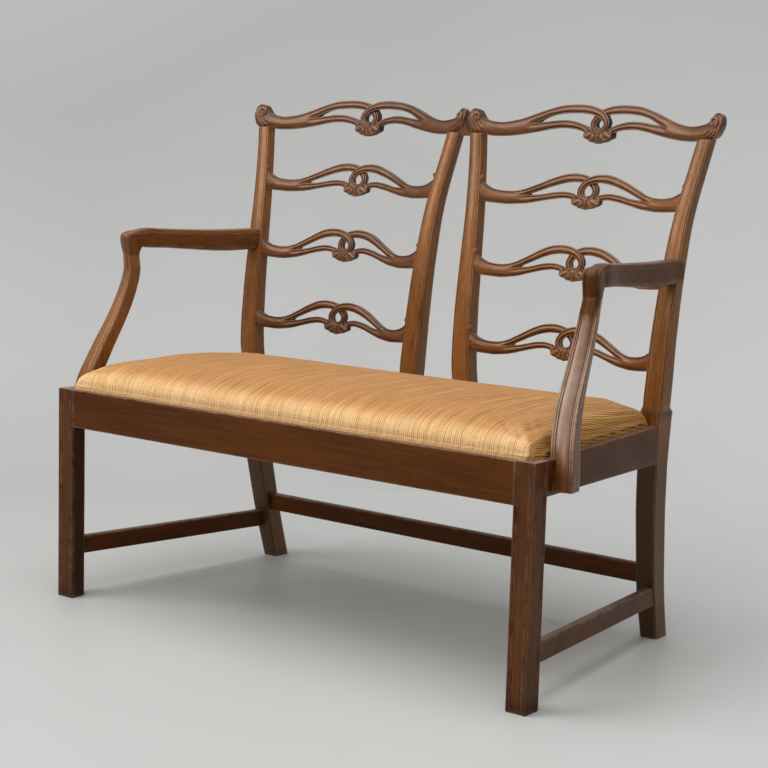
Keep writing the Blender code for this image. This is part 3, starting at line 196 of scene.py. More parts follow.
WEBBING_CROSS_COUNT = 7
WEBBING_LONG_COUNT = 3
BASE_CLOTH_THICKNESS = 0.0007
BASE_CLOTH_INSET = 0.0045
BASE_CLOTH_LIFT = 0.0001
BASE_CLOTH_COLUMNS = 90

# Shares along a stile: rise, reach, width, rake, depth.
STILE_ROWS = ((0.00, 0.00, 1.00, 0.00, 1.00), (0.12, 0.15, 0.98, 0.00, 0.97), (0.30, 0.25, 0.93, 0.09, 0.91),
              (0.52, 0.34, 0.84, 0.30, 0.83), (0.73, 0.50, 0.73, 0.57, 0.76), (0.90, 0.80, 0.69, 0.85, 0.70),
              (1.00, 1.00, 0.68, 1.00, 0.68))
# Beads across a front leg's face: centre, half width and rise, in shares of the face and of its sink.
FRONT_LEG_BEADS = ((0.052, 0.060, 0.55), (0.150, 0.032, 0.40), (0.215, 0.026, 0.30),
                   (0.735, 0.026, 0.30), (0.800, 0.032, 0.40), (0.915, 0.070, 0.58))
# Shares down a back leg: height, spread, rake, width, depth.
BACK_LEG_ROWS = ((0.00, 1.00, 1.00, 0.00, 0.00), (0.28, 0.70, 0.60, 0.68, -0.60),
                 (0.52, 0.42, 0.33, 0.80, 0.00), (0.76, 0.16, 0.10, 0.92, 0.75),
                 (1.00, 0.00, 0.00, 1.00, 1.00))
# Half of a slat and of a crest, drawn in shares of their reach and rise from the middle of the knot.
SLAT_TOP = ((1.030, 0.64), (0.982, 0.37), (0.941, 0.17), (0.886, -0.02), (0.818, -0.13), (0.741, -0.17),
            (0.659, -0.13), (0.586, 0.00))
SLAT_BOTTOM = ((1.030, -0.77), (0.982, -0.80), (0.932, -0.85), (0.877, -0.89), (0.809, -0.92), (0.727, -0.94),
               (0.650, -0.91), (0.573, -0.87))
SLAT_TIP = (0.559, -0.36)
SLAT_UPPER = ((0.455, 0.14, 0.44), (0.341, 0.45, 0.49), (0.227, 0.68, 0.52), (0.127, 0.74, 0.50),
              (0.036, 0.65, 0.47), (-0.036, 0.39, 0.42), (-0.070, 0.00, 0.39), (-0.050, -0.35, 0.39),
              (0.014, -0.49, 0.38))
SLAT_LOWER = ((0.445, -0.50, 0.40), (0.318, -0.34, 0.40), (0.205, -0.28, 0.37), (0.127, -0.38, 0.35),
              (0.086, -0.50, 0.33), (0.055, -0.60, 0.30))
CREST_TOP = ((1.002, 0.26), (0.993, 0.52), (0.968, 0.67), (0.936, 0.63), (0.912, 0.42), (0.886, 0.18),
             (0.827, 0.03), (0.752, -0.04), (0.677, 0.03), (0.581, 0.22), (0.499, 0.46))
CREST_BOTTOM = ((1.002, -0.06), (0.990, -0.36), (0.970, -0.61), (0.945, -0.72), (0.911, -0.72),
                (0.866, -0.72), (0.806, -0.80), (0.738, -0.81), (0.667, -0.78), (0.570, -0.68),
                (0.492, -0.57))
CREST_TIP = (0.485, -0.03)
CREST_UPPER = ((0.399, 0.51, 0.44), (0.314, 0.68, 0.46), (0.221, 0.75, 0.47), (0.135, 0.75, 0.47),
               (0.050, 0.65, 0.44), (-0.021, 0.39, 0.40), (-0.055, 0.01, 0.36), (-0.039, -0.32, 0.36),
               (0.011, -0.45, 0.35))
CREST_LOWER = ((0.399, -0.18, 0.46), (0.303, -0.08, 0.44), (0.214, -0.10, 0.42), (0.143, -0.22, 0.37),
               (0.078, -0.42, 0.33), (0.043, -0.52, 0.29))
LEAF = ((-0.42, -0.32), (-0.66, -0.33), (-0.80, -0.46), (-0.80, -0.66), (-0.66, -0.82), (-0.36, -0.97),
        (0.0, -1.06), (0.36, -0.97), (0.66, -0.82), (0.80, -0.66), (0.80, -0.46), (0.66, -0.33),
        (0.42, -0.32), (0.0, -0.36))
# Rows of the leaf from its middle out over the rim and back: share of the outline, then of the depth.
LEAF_ROWS = ((0.02, 0), (0.15, 0), (0.3, 0), (0.45, 0), (0.58, 0), (0.70, 0), (0.80, 0), (0.87, 0), (0.92, 0),
             (0.96, 0), (0.99, 0), (1.0, 0.35), (0.99, 1), (0.9, 1), (0.02, 1))
LEAF_MIDDLE_SHARE = -0.66
LEAF_ROOT_SHARE = -0.20
LEAF_COLUMNS = 132
LEAF_FLUTES = 13.0
LEAF_FLUTE_DEPTH = 0.0011
LEAF_FLUTE_START = 0.004
LEAF_FLUTE_REACH = 0.010
LEAF_DOME = 0.0034
LEAF_RIM_HEIGHT = 0.0012
LEAF_INSET = 0.0012
# Scrolls: centre, first and last radius, thickness, first bearing and turns. Lengths in metres.
EAR_SCROLL = (0.2620, 0.0075, 0.0098, 0.0030, 0.0034, -1.9, 1.45)
EAR_STRANDS = (((0.2700, -0.0020), (0.2660, -0.0130), (0.2560, -0.0215)),
               ((0.2640, -0.0035), (0.2590, -0.0125), (0.2480, -0.0200)),
               ((0.2570, -0.0020), (0.2520, -0.0090), (0.2420, -0.0150)))
NIB_SCROLL = (-0.0035, 0.0185, 0.0048, 0.0016, 0.0021, -1.9, 1.2)
LEAF_SCROLL = (0.0255, -0.0185, 0.0052, 0.0016, 0.0019, 2.4, -1.3)
SCROLL_FACE = -0.0026
SCROLL_POINTS = 44
SCROLL_EYE_SHARE = 1.15
STRAND_POINTS = 16
STRAND_RADIUS = 0.0022
# Past the start of the ears: where the painted shade of the ground begins and over what length it grows, then
# it fades.
EAR_GROUND = (0.004, 0.008)
EAR_FACE = (0.018, 0.014)
CARVING_FADED_SHARES = (0.30, 0.75)
# Reeds across an arm or support: centre and half width in shares of the half width, then rise.
REEDS = ((0.0, 0.58, 0.0040), (0.675, 0.075, 0.0014), (0.875, 0.115, 0.0020))
REED_COLUMNS = 61
# Shares along an arm: spread, width, hump, height. Then the knuckle's top and underside, out and up.
ARM_ROWS = ((0.00, 0.00, 1.00, 0.00, 0.75), (0.09, 0.03, 0.98, 0.00, 0.85), (0.22, 0.13, 0.92, -0.03, 0.98),
            (0.38, 0.24, 0.82, 0.05, 0.90), (0.55, 0.36, 0.66, 0.30, 0.68), (0.72, 0.53, 0.46, 0.65, 0.48),
            (0.88, 0.80, 0.22, 1.00, 0.45), (1.00, 1.00, 0.00, 0.60, 0.40))
ARM_COLUMNS = (0.0, 0.08, 0.20, 0.34, 0.48, 0.62, 0.76, 0.88)
ARM_SLOPE_SHARE = 0.04
ARM_STEP = 0.0035
SUPPORT_STEP_SHARE = 0.011
KNUCKLE_ROWS = ((0.95, 1.02, 1.50, 0.36), (0.30, 1.00, 1.34, 0.30), (0.00, 0.88, 1.22, 0.20),
                (-0.05, 0.64, 1.18, 0.12), (0.06, 0.30, 1.17, 0.05), (0.20, 0.00, 1.18, 0.00))
# Shares up an arm support: height, sweep, spread, width.
SUPPORT_ROWS = ((0.00, 0.115, 1.00, 1.00), (0.12, 0.145, 0.94, 1.06), (0.22, 0.195, 0.76, 1.08),
                (0.34, 0.315, 0.50, 0.98), (0.45, 0.450, 0.30, 0.84), (0.57, 0.62, 0.14, 0.64),
                (0.69, 0.78, 0.03, 0.44), (0.80, 0.90, -0.03, 0.27), (0.90, 0.98, -0.03, 0.12),
                (1.00, 1.00, 0.00, 0.00))
# Shares up the side of the seat and over its crown: inset, height, bulge; then inset, height.
COVER_ROWS = ((0.00, 0.00, 0.0), (0.002, 0.27, 1.0), (0.014, 0.57, 0.8), (0.040, 0.82, 0.3),
              (0.080, 0.98, 0.0), (0.140, 1.09, 0.0))
CROWN_ROWS = ((0.24, 0.40), (0.40, 0.68), (0.60, 0.90), (0.82, 1.00))
CORNER_SHARE = 2.8
END_FULLNESS = 0.50

CAMERA_PLACE = (2.0711, -2.7151, 0.9429)
CAMERA_TURN = (37.2918, 8.0851, 1.6603)
SENSOR_WIDTH = 36.0
LAMP_AIM_HEIGHT = 0.45
FLOOR_SIZE = 30.0
WALL_SIZE = 12.0
WALL_DISTANCE = 4.62
WALL_HEIGHT = 3.0
# Painted shade on the floor and wall: the heights over which the wall darkens upwards, the span across over
# which both darken to the left, and the share of their colour at the darkest.
STAGE_DARKER_HEIGHTS = (0.30, 1.45)
STAGE_DARKER_SPAN = (-0.80, 1.00)
STAGE_DARK_SHARE = 0.55


def colour_setting(name, description, default):
    """A colour that a user may change."""
    return bpy.props.FloatVectorProperty(name=name, description=description, subtype="COLOR", size=3,
                                         min=0, max=1, default=default)


def length_setting(name, description, default, least=0.0):
    """A length that a user may change."""
    return bpy.props.FloatProperty(name=name, description=description, unit="LENGTH", default=default,
                                   min=least)


def power_setting(name, description, default):
    """A lamp's power that a user may change."""
    return bpy.props.FloatProperty(name=name, description=description, unit="POWER", default=default, min=0)


class WoodSettings(bpy.types.PropertyGroup):
    """Colours of the mahogany and the mouldings cut in it."""

    rail_dark: colour_setting("Rail dark", "Dark tone of the seat rails and stretchers",
                              (0.040, 0.0105, 0.0014))
    rail_light: colour_setting("Rail light", "Light tone of the seat rails and stretchers",
                               (0.125, 0.036, 0.0046))
    leg_dark: colour_setting("Leg dark", "Dark tone of the legs", (0.038, 0.0105, 0.0026))
    leg_light: colour_setting("Leg light", "Light tone of the legs", (0.135, 0.045, 0.0115))
    back_dark: colour_setting("Back dark", "Dark tone of the stiles, slats and arms",
                              (0.080, 0.0240, 0.0036))
    back_light: colour_setting("Back light", "Light tone of the stiles, slats and arms",
                               (0.300, 0.108, 0.0200))
    carved_dark: colour_setting("Carving, dark", "Darkest grain of the crests and slats",
                                (0.040, 0.0120, 0.0038))
    carved_light: colour_setting("Carving, light", "Lightest grain of the crests and slats",
                                 (0.200, 0.072, 0.024))
    arm_dark: colour_setting("Arm dark", "Dark tone of the arms", (0.050, 0.0145, 0.0030))
    arm_light: colour_setting("Arm light", "Light tone of the arms", (0.170, 0.058, 0.0120))
    # This colour lightens convex edges, as wear and painted highlight.
    worn_and_highlit: colour_setting("Worn edge", "Colour of rubbed and dusty edges", (0.46, 0.29, 0.20))
    bead: length_setting("Bead", "Width of the bead along an edge", 0.0024, 0.001)
    quirk: length_setting("Quirk", "Depth of the groove beside a bead", 0.0012)
    crown: length_setting("Crown", "Rise of the softly rounded faces", 0.0026)


class SeatSettings(bpy.types.PropertyGroup):
    """Cloth and filling of the drop-in seat."""

    cloth_top: colour_setting("Cloth", "Colour of the cloth on top", (0.560, 0.280, 0.100))
    cloth_lip: colour_setting("Cloth lip", "Colour of the cloth on the front edge", (0.790, 0.520, 0.255))
    cloth_dark: colour_setting("Cloth furrow", "Colour between the ribs", (0.270, 0.115, 0.031))
    rib: length_setting("Rib", "Mean width of one rib of the cloth", 0.0042, 0.001)
    swell: length_setting("Swell", "Furthest that the filling may push the cloth", 0.006)
    voxel: length_setting("Mesh", "Size of the simulated cloth's faces", 0.006, 0.003)


class StageSettings(bpy.types.PropertyGroup):
    """Floor, wall, lamps and lens."""

    floor: colour_setting("Floor", "Colour of the floor", (0.60, 0.605, 0.585))
    wall: colour_setting("Wall", "Colour of the wall", (0.80, 0.80, 0.795))
    key: power_setting("Key lamp", "Power of the large lamp at the left", 88.0)
    fill: power_setting("Fill lamp", "Power of the lamp at the right", 8.0)
    top: power_setting("Top lamp", "Power of the lamp overhead", 92.0)
    lens: bpy.props.FloatProperty(
        name="Lens", description="Focal length in millimetres on a 36 mm sensor", default=84.02, min=10)


def mix(start, end, share):
    """The value a share of the way from start to end."""
    return start + (end - start) * share


def eased(value):
    """A share held between 0 and 1, with a soft start and end."""
    share = np.clip(value, 0.0, 1.0)
    return share * share * (3 - 2 * share)


def curve_through(knots, values, places):
    """Rows of values at the places, on a smooth curve through the given rows."""
    knots = np.asarray(knots, float)
    values = np.asarray(values, float)
    places = np.atleast_1d(np.asarray(places, float))
    runs = np.diff(knots)
    chords = np.diff(values, axis=0) / runs[:, None]
    slopes = np.empty_like(values)
    slopes[0] = chords[0]
    slopes[-1] = chords[-1]
    near = runs[:-1, None]
    far = runs[1:, None]
    slopes[1:-1] = (chords[:-1] * far + chords[1:] * near) / (near + far)
    index = np.clip(np.searchsorted(knots, places, side="right") - 1, 0, len(runs) - 1)
    run = runs[index][:, None]
    t = (places[:, None] - knots[index][:, None]) / run
    return ((2 * t ** 3 - 3 * t ** 2 + 1) * values[index] + (t ** 3 - 2 * t ** 2 + t) * run * slopes[index]
            + (3 * t ** 2 - 2 * t ** 3) * values[index + 1] + (t ** 3 - t ** 2) * run * slopes[index + 1])


def read_rows(rows, places):
    """Columns of a table after the first, read smoothly at places in the first, one array each."""
    table = np.asarray(rows, float)
    return curve_through(table[:, 0], table[:, 1:], places).T


def read_row(rows, place):
    """The values of a table at one place, each a number."""
    return read_rows(rows, place)[:, 0]


def level_ring(flat, height):
    """Points of a plan, all at one height."""
    return np.column_stack((flat, np.full(len(flat), height)))


def travel(points):
    """Distance along a line of points, from zero at its start."""
    steps = np.linalg.norm(np.diff(points, axis=0), axis=1)
    return np.concatenate(([0.0], np.cumsum(steps)))


def deselect():
    """Leave nothing selected and no piece in edit mode."""
    if bpy.context.object and bpy.context.object.mode != "OBJECT":
        bpy.ops.object.mode_set(mode="OBJECT")
    for piece in bpy.context.view_layer.objects:
        piece.select_set(False)


def pick(*pieces):
    """Select these pieces alone, the first one active."""
    deselect()
    for piece in pieces:
        piece.select_set(True)
    bpy.context.view_layer.objects.active = pieces[0]
    return pieces[0]


def join_as(name, *pieces):
    """Join pieces into one, and name it and its mesh."""
    piece = pick(*pieces)
    if len(pieces) > 1:
        bpy.ops.object.join()
    piece.name = name
    piece.data.name = name
    return piece


def place_points(piece, places):
    """Move a piece's points to these places."""
    piece.data.vertices.foreach_set("co", np.asarray(places, np.float32).ravel())
    piece.data.update()


def wrap(rings, closed=True):
    """A grid laid on rings of points, one row each, rolled shut where the rings are closed."""
    rings = np.asarray(rings, float)
    if closed:
        rings = np.concatenate((rings, rings[:, :1]), axis=1)
    rows, columns = rings.shape[:2]
    deselect()
    bpy.ops.mesh.primitive_grid_add(x_subdivisions=columns - 1, y_subdivisions=rows - 1, size=1.0)
    piece = bpy.context.active_object
    place_points(piece, rings.reshape(-1, 3) + (0.0, FRONT_FACE, 0.0))
    return piece


def close_up(name, *sheets, merge=0.00001):
    """Join sheets into one closed piece: merge where they meet, fill the ends, turn faces outwards."""
    piece = join_as(name, *sheets)
    bpy.ops.object.mode_set(mode="EDIT")
    bpy.ops.mesh.select_all(action="SELECT")
    bpy.ops.mesh.remove_doubles(threshold=merge)
    bpy.ops.mesh.select_all(action="DESELECT")
    bpy.ops.mesh.select_mode(type="EDGE")
    bpy.ops.mesh.select_non_manifold(extend=False, use_wire=False, use_multi_face=False,
                                     use_non_contiguous=False, use_verts=False)
    bpy.ops.mesh.fill_holes(sides=0)
    bpy.ops.mesh.select_mode(type="VERT")
    bpy.ops.mesh.select_all(action="SELECT")
    bpy.ops.mesh.normals_make_consistent(inside=False)
    bpy.ops.object.mode_set(mode="OBJECT")
    return piece


def modify(piece, kind, **values):
    """Add a modifier, set it up and apply it."""
    pick(piece)
    modifier = piece.modifiers.new(kind.title(), kind)
    for key, value in values.items():
        setattr(modifier, key, value)
    bpy.ops.object.modifier_apply(modifier=modifier.name)
    return piece


def note(piece, name, values):
    """Keep one number for each point of a piece under a name that its material reads."""
    attribute = piece.data.attributes.new(name, "FLOAT", "POINT")
    attribute.data.foreach_set("value", np.asarray(values, np.float32))


def mark_edges(piece):
    """Note on each point how far it stands on an edge (lightened: wear and painted highlight) or lies in a
    corner (hollow: painted shade).
    """
    mesh = bmesh.new()
    mesh.from_mesh(piece.data)
    turn = np.zeros(len(mesh.verts))
    for edge in mesh.edges:
        if len(edge.link_faces) == 2:
            angle = edge.calc_face_angle_signed(0.0)
            turn[edge.verts[0].index] += angle
            turn[edge.verts[1].index] += angle
    mesh.free()
    note(piece, "worn_and_highlit", np.clip(turn, 0.0, 1.0))
    note(piece, "hollow", np.clip(-turn, 0.0, 1.0))


def points_of(mesh):
    """Places and normals of a mesh's points."""
    places = np.empty(len(mesh.vertices) * 3, np.float32)
    normals = np.empty_like(places)
    mesh.vertices.foreach_get("co", places)
    mesh.vertices.foreach_get("normal", normals)
    return places.reshape(-1, 3), normals.reshape(-1, 3)


def note_shade(piece, measure):
    """Note on each point how far its colour is darkened, from its place and its normal: painted shade, and on
    the front legs' feet a darkening towards the floor.
    """
    values = measure(*points_of(piece.data))
    note(piece, "shade", values)


def sideways(normals):
    """Full on what faces sideways or down, none on what faces forwards, up or back."""
    return (eased((0.62 + normals[:, 1]) / 0.45) * eased((0.80 - normals[:, 2]) / 0.4)
            * eased((0.80 - normals[:, 1]) / 0.3))


def finish(piece, material, body, replaced=(), angle=38.0):
    """Shade a piece, give it its finish, and tie it to the frame."""
    pick(piece)
    bpy.ops.object.shade_smooth_by_angle(angle=math.radians(angle))
    mark_edges(piece)
    piece.data.materials.clear()
    piece.data.materials.append(material)
    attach(piece, body)
    if replaced:
        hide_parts(*replaced)
    return piece


def section(outline, radius, steps=3, support=0.004):
    """A closed outline with rounded corners, and a point kept near each end of every corner."""
    points = np.asarray(outline, float)
    count = len(points)
    result = []
    for k in range(count):
        here = points[k]
        before = points[k - 1] - here
        after = points[(k + 1) % count] - here
        long_before = np.linalg.norm(before)
        long_after = np.linalg.norm(after)
        before /= long_before
        after /= long_after
        cut = min(radius, long_before * 0.3, long_after * 0.3)
        keep_before = min(cut + support, long_before * 0.45)
        keep_after = min(cut + support, long_after * 0.45)
        result.append(here + before * keep_before)
        start = here + before * cut
        end = here + after * cut
        for step in range(steps + 1):
            t = step / steps
            result.append(start * (1 - t) ** 2 + here * 2 * t * (1 - t) + end * t ** 2)
        result.append(here + after * keep_after)
    return np.array(result)


def input_of(node, name):
    """The first input of a node that has this name and is in use."""
    return next(socket for socket in node.inputs if socket.name == name and socket.enabled)


class Drawing:
    """Adds nodes to a tree and joins them, so that a material reads as a list of steps."""

    def __init__(self, tree):
        self.tree = tree

    def node(self, kind, values=None, **settings):
        node = self.tree.nodes.new(kind)
        for key, value in settings.items():
            setattr(node, key, value)
        for key, value in (values or {}).items():
            socket = node.inputs[key] if isinstance(key, int) else input_of(node, key)
            if isinstance(value, bpy.types.NodeSocket):
                self.tree.links.new(value, socket)
            else:
                socket.default_value = value
        return node

    def math(self, operation, first, second=0.0, clamp=False):
        return self.node("ShaderNodeMath", {0: first, 1: second}, operation=operation,
                         use_clamp=clamp).outputs[0]

    def plus(self, first, second, clamp=False):
        return self.math("ADD", first, second, clamp)

    def times(self, first, second, clamp=False):
        return self.math("MULTIPLY", first, second, clamp)

    def noise(self, vector, scale, detail=2.0, roughness=0.5, distortion=0.0):
        return self.node("ShaderNodeTexNoise", {"Vector": vector, "Scale": scale, "Detail": detail,
                                                "Roughness": roughness, "Distortion": distortion}).outputs[0]

    def stretch(self, vector, scale):
        return self.node("ShaderNodeMapping", {"Vector": vector, "Scale": scale}).outputs[0]

    def between(self, value, low, high, to_low=0.0, to_high=1.0):
        return self.node("ShaderNodeMapRange", {"Value": value, "From Min": low, "From Max": high,
                                                "To Min": to_low, "To Max": to_high}).outputs[0]

    def blend(self, share, first, second):
        """The first colour, turned by a share into the second."""
        colours = [value if isinstance(value, bpy.types.NodeSocket) else (*value[:3], 1.0)
                   for value in (first, second)]
        values = {0: share, 6: colours[0], 7: colours[1]}
        return self.node("ShaderNodeMix", values, data_type="RGBA").outputs[2]

    def object_place(self):
        return self.node("ShaderNodeTexCoord").outputs["Object"]

    def along(self, vector, axis):
        """One of a vector's three parts."""
        return self.node("ShaderNodeSeparateXYZ", {0: vector}).outputs[axis]

    def facing(self, axis):
        """How much the surface faces along an axis of the settee."""
        return self.along(self.node("ShaderNodeNewGeometry").outputs["Normal"], axis)

    def noted(self, name):
        return self.node("ShaderNodeAttribute", attribute_name=name).outputs["Fac"]

    def ripple(self, place, width, shift, low, high):
        """A wave of a width along a place, moved by a shift of its phase."""
        turns = self.plus(self.times(place, 2 * math.pi / width), shift)
        return self.between(self.math("SINE", turns), low, high)

    def bump(self, height, strength, distance):
        return self.node("ShaderNodeBump", {"Height": height, "Strength": strength,
                                            "Distance": distance}).outputs[0]

    def surface(self, shader):
        self.node("ShaderNodeOutputMaterial", {0: shader.outputs[0]})


def new_material(name):
    """An empty material, and the drawing that fills it."""
    material = bpy.data.materials.new(name)
    material.use_nodes = True
    material.node_tree.nodes.clear()
    return material, Drawing(material.node_tree)


def new_group(name, inputs, outputs):
    """A shader node group with the named sockets, as (kind, name, default)."""
    tree = bpy.data.node_groups.new(name, "ShaderNodeTree")
    for kind, label, default in inputs:
        socket = tree.interface.new_socket(name=label, in_out="INPUT", socket_type=kind)
        if default is not None:
            socket.default_value = default
    for kind, label in outputs:
        tree.interface.new_socket(name=label, in_out="OUTPUT", socket_type=kind)
    return tree, tree.nodes.new("NodeGroupInput").outputs, tree.nodes.new("NodeGroupOutput").inputs


def grain_group():
    """Mahogany figure along the first axis: broad tone, streaks, pores and fine height."""
    tree, given, result = new_group(
        "mahogany grain",
        (("NodeSocketVector", "Along", None), ("NodeSocketColor", "Dark", (0.05, 0.02, 0.01, 1)),
         ("NodeSocketColor", "Light", (0.2, 0.08, 0.03, 1))),
        (("NodeSocketColor", "Colour"), ("NodeSocketFloat", "Height")))
    draw = Drawing(tree)
    along = given["Along"]
    waved = draw.noise(draw.stretch(along, (2.2, 5.0, 5.0)), 1.0, 2.0)
    shift = draw.node("ShaderNodeCombineXYZ", {"Y": draw.times(waved, 0.020),
                                               "Z": draw.times(waved, 0.014)}).outputs[0]
    path = draw.node("ShaderNodeVectorMath", {0: along, 1: shift}, operation="ADD").outputs[0]
    tone = draw.noise(draw.stretch(path, (3.0, 14.0, 14.0)), 1.0, 3.0, 0.55)
    streak = draw.noise(draw.stretch(path, (6.0, 260.0, 260.0)), 1.0, 4.0, 0.62)
    fine = draw.noise(draw.stretch(path, (45.0, 1100.0, 1100.0)), 1.0, 2.0, 0.5)
    figure = draw.plus(draw.times(draw.between(tone, 0.30, 0.70), 0.50),
                       draw.times(draw.between(streak, 0.30, 0.70), 0.50))
    colour = draw.blend(figure, given["Dark"], given["Light"])
    pores = draw.between(fine, 0.36, 0.46)
    colour = draw.blend(draw.between(pores, 0.0, 1.0, 0.35, 0.0), colour, (0.010, 0.004, 0.002))
    height = draw.plus(draw.times(pores, 0.6), draw.times(streak, 0.5))
    tree.links.new(colour, result["Colour"])
    tree.links.new(height, result["Height"])


def wear_group():
    """Lighter edges (wear and painted highlight), painted shade noted on pieces and in corners, and a pale
    coat on what faces up (dusting and painted sheen).
    """
    tree, given, result = new_group(
        "wear and wax",
        (("NodeSocketColor", "Colour", (0.2, 0.1, 0.05, 1)), ("NodeSocketColor", "Worn and highlit", (0.4, 0.3, 0.2, 1)),
         ("NodeSocketFloat", "Edges", 0.55), ("NodeSocketFloat", "Dust and sheen", 0.10),
         ("NodeSocketFloat", "Dust from", 0.35)),
        (("NodeSocketColor", "Colour"), ("NodeSocketFloat", "Dull")))
    draw = Drawing(tree)
    worn_and_highlit, hollow, shade = (draw.noted(name) for name in ("worn_and_highlit", "hollow", "shade"))
    place = draw.object_place()
    patches = draw.noise(place, 38.0, 4.0, 0.62)
    scuffs = draw.noise(place, 160.0, 3.0, 0.6)
    broken = draw.times(draw.between(patches, 0.34, 0.62), draw.between(scuffs, 0.25, 0.6, 0.35, 1.0))
    rubbed_and_highlit = draw.times(draw.times(draw.between(worn_and_highlit, 0.12, 0.9), broken), given["Edges"])
    # A pale coat on what faces up: dusting, and painted sheen where it is laid on strongly.
    facing_up = draw.times(draw.math("SUBTRACT", draw.facing(2), given["Dust from"]), 2.2, True)
    dust_and_sheen = draw.times(facing_up, given["Dust and sheen"])
    dust_and_sheen = draw.times(dust_and_sheen, draw.between(patches, 0.25, 0.75, 0.5, 1.0))
    # Painted shade: darkened where the pieces noted shade, then in corners by the hollow mark.
    colour = draw.blend(shade, given["Colour"], (0.010, 0.0030, 0.0008))
    colour = draw.blend(hollow, colour, (0.008, 0.0028, 0.0012))
    colour = draw.blend(dust_and_sheen, colour, (0.36, 0.27, 0.22))
    # Lighter colour on convex edges, broken by patches: wear and painted highlight.
    colour = draw.blend(rubbed_and_highlit, colour, given["Worn and highlit"])
    tree.links.new(colour, result["Colour"])
    dull = draw.plus(draw.times(rubbed_and_highlit, 0.25), draw.times(draw.math("MAXIMUM", shade, hollow), 0.30))
    tree.links.new(dull, result["Dull"])


def wood(name, axis, dark, light, roughness, edges, dust_and_sheen, gloss=0.48, dust_and_sheen_from=0.35, worn_and_highlit=None):
    """Waxed mahogany whose grain runs along an axis of the settee."""
    if name in bpy.data.materials:
        return bpy.data.materials[name]
    material, draw = new_material(name)
    place = draw.object_place()
    turns = {"X": (0.0, 0.0, 0.0), "Y": (0.0, 0.0, -math.pi / 2), "Z": (0.0, math.pi / 2, 0.0)}
    turned = draw.node("ShaderNodeMapping", {"Vector": place, "Rotation": turns[axis]}).outputs[0]
    grain = draw.node("ShaderNodeGroup", {"Along": turned, "Dark": (*dark, 1), "Light": (*light, 1)},
                      node_tree=bpy.data.node_groups["mahogany grain"])
    worn_and_highlit = worn_and_highlit or tuple(bpy.context.scene.settee_wood.worn_and_highlit)
    wear = draw.node("ShaderNodeGroup", {"Colour": grain.outputs["Colour"], "Worn and highlit": (*worn_and_highlit, 1),
                                         "Edges": edges, "Dust and sheen": dust_and_sheen, "Dust from": dust_and_sheen_from},
                     node_tree=bpy.data.node_groups["wear and wax"])
    smear = draw.between(draw.noise(place, 22.0, 3.0, 0.6), 0.3, 0.7, roughness - 0.07, roughness + 0.09)
    draw.surface(draw.node("ShaderNodeBsdfPrincipled", {
        "Base Color": wear.outputs["Colour"], "Roughness": draw.plus(smear, wear.outputs["Dull"]),
        "Normal": draw.bump(grain.outputs["Height"], 0.22, 0.0004), "Specular Tint": (1.0, 0.74, 0.55, 1),
        "Specular IOR Level": gloss}))
    return material


def toned(strength, *colours):
    """Colours made lighter or darker by one factor."""
    return [np.array(colour) * strength for colour in colours]


def back_wood(axis):
    """The warm mahogany of stiles and back legs."""
    look = bpy.context.scene.settee_wood
    return wood(f"back_mahogany_{axis.lower()}", axis, look.back_dark, look.back_light,
                roughness=0.22, edges=0.18, dust_and_sheen=0.05, gloss=0.60)


def carved_wood(node):
    """The redder mahogany of the crests and slats: crests darkest, the right back's slats most faded."""
    look = bpy.context.scene.settee_wood
    faded = 0.0 if node.startswith("crest") else CARVING_FADED_SHARES[node.endswith("right")]
    dark = mix(np.array(look.carved_dark), np.array(look.back_dark), faded)
    light = mix(np.array(look.carved_light), np.array(look.back_light), faded)
    return wood(f"carved_mahogany_{round(faded * 100)}", "X", dark, light,
                roughness=0.21, edges=0.14, dust_and_sheen=0.05, gloss=0.62)


def arm_wood(side):
    """The darker mahogany of the arms, in a lighter copy on the left and a darker copy on the right: painted
    light and shade.
    """
    look = bpy.context.scene.settee_wood
    # Painted light and shade: the same colours made lighter for the left arm and darker for the right.
    strength, gloss = (1.30, 0.34) if side == "left" else (0.80, 0.18)
    return wood(f"arm_mahogany_{side}", "Y", *toned(strength, look.arm_dark, look.arm_light),
                roughness=0.29, edges=0.25, dust_and_sheen=0.10, gloss=gloss)


def support_wood(side):
    """The supports' mahogany: the right one has darker wood and a painted sheen where it leans back."""
    look = bpy.context.scene.settee_wood
    if side == "left":
        return wood("support_mahogany_left", "Z", look.back_dark, look.back_light,
                    roughness=0.27, edges=0.25, dust_and_sheen=0.10)
    # Painted sheen: a heavy pale coat where the support leans back, on darker wood.
    return wood("support_mahogany_right", "Z", *toned(0.65, look.back_dark, look.back_light),
                roughness=0.22, edges=0.35, dust_and_sheen=0.85, gloss=0.70, dust_and_sheen_from=0.13)


def rail_wood(axis):
    """The dark mahogany of rails and stretchers."""
    look = bpy.context.scene.settee_wood
    return wood(f"rail_mahogany_{axis.lower()}", axis, look.rail_dark, look.rail_light,
                roughness=0.36, edges=0.50, dust_and_sheen=0.22, gloss=0.18)


def leg_wood():
    """The red-brown mahogany of the front legs."""
    look = bpy.context.scene.settee_wood
    return wood("leg_mahogany_z", "Z", look.leg_dark, look.leg_light,
                roughness=0.36, edges=0.28, dust_and_sheen=0.60, gloss=0.22)


def ground_wood():
    """The flat ground between the carved ears."""
    look = bpy.context.scene.settee_wood
    return wood("carved_ground", "X", look.arm_dark, look.arm_light, roughness=0.40, edges=0.2, dust_and_sheen=0.0)


def plain_wood(axis):
    """Unpolished beech, seen only from below."""
    return wood(f"plain_beech_{axis.lower()}", axis, (0.26, 0.155, 0.075), (0.50, 0.34, 0.19),
                roughness=0.62, edges=0.15, dust_and_sheen=0.05, worn_and_highlit=(0.55, 0.42, 0.27))


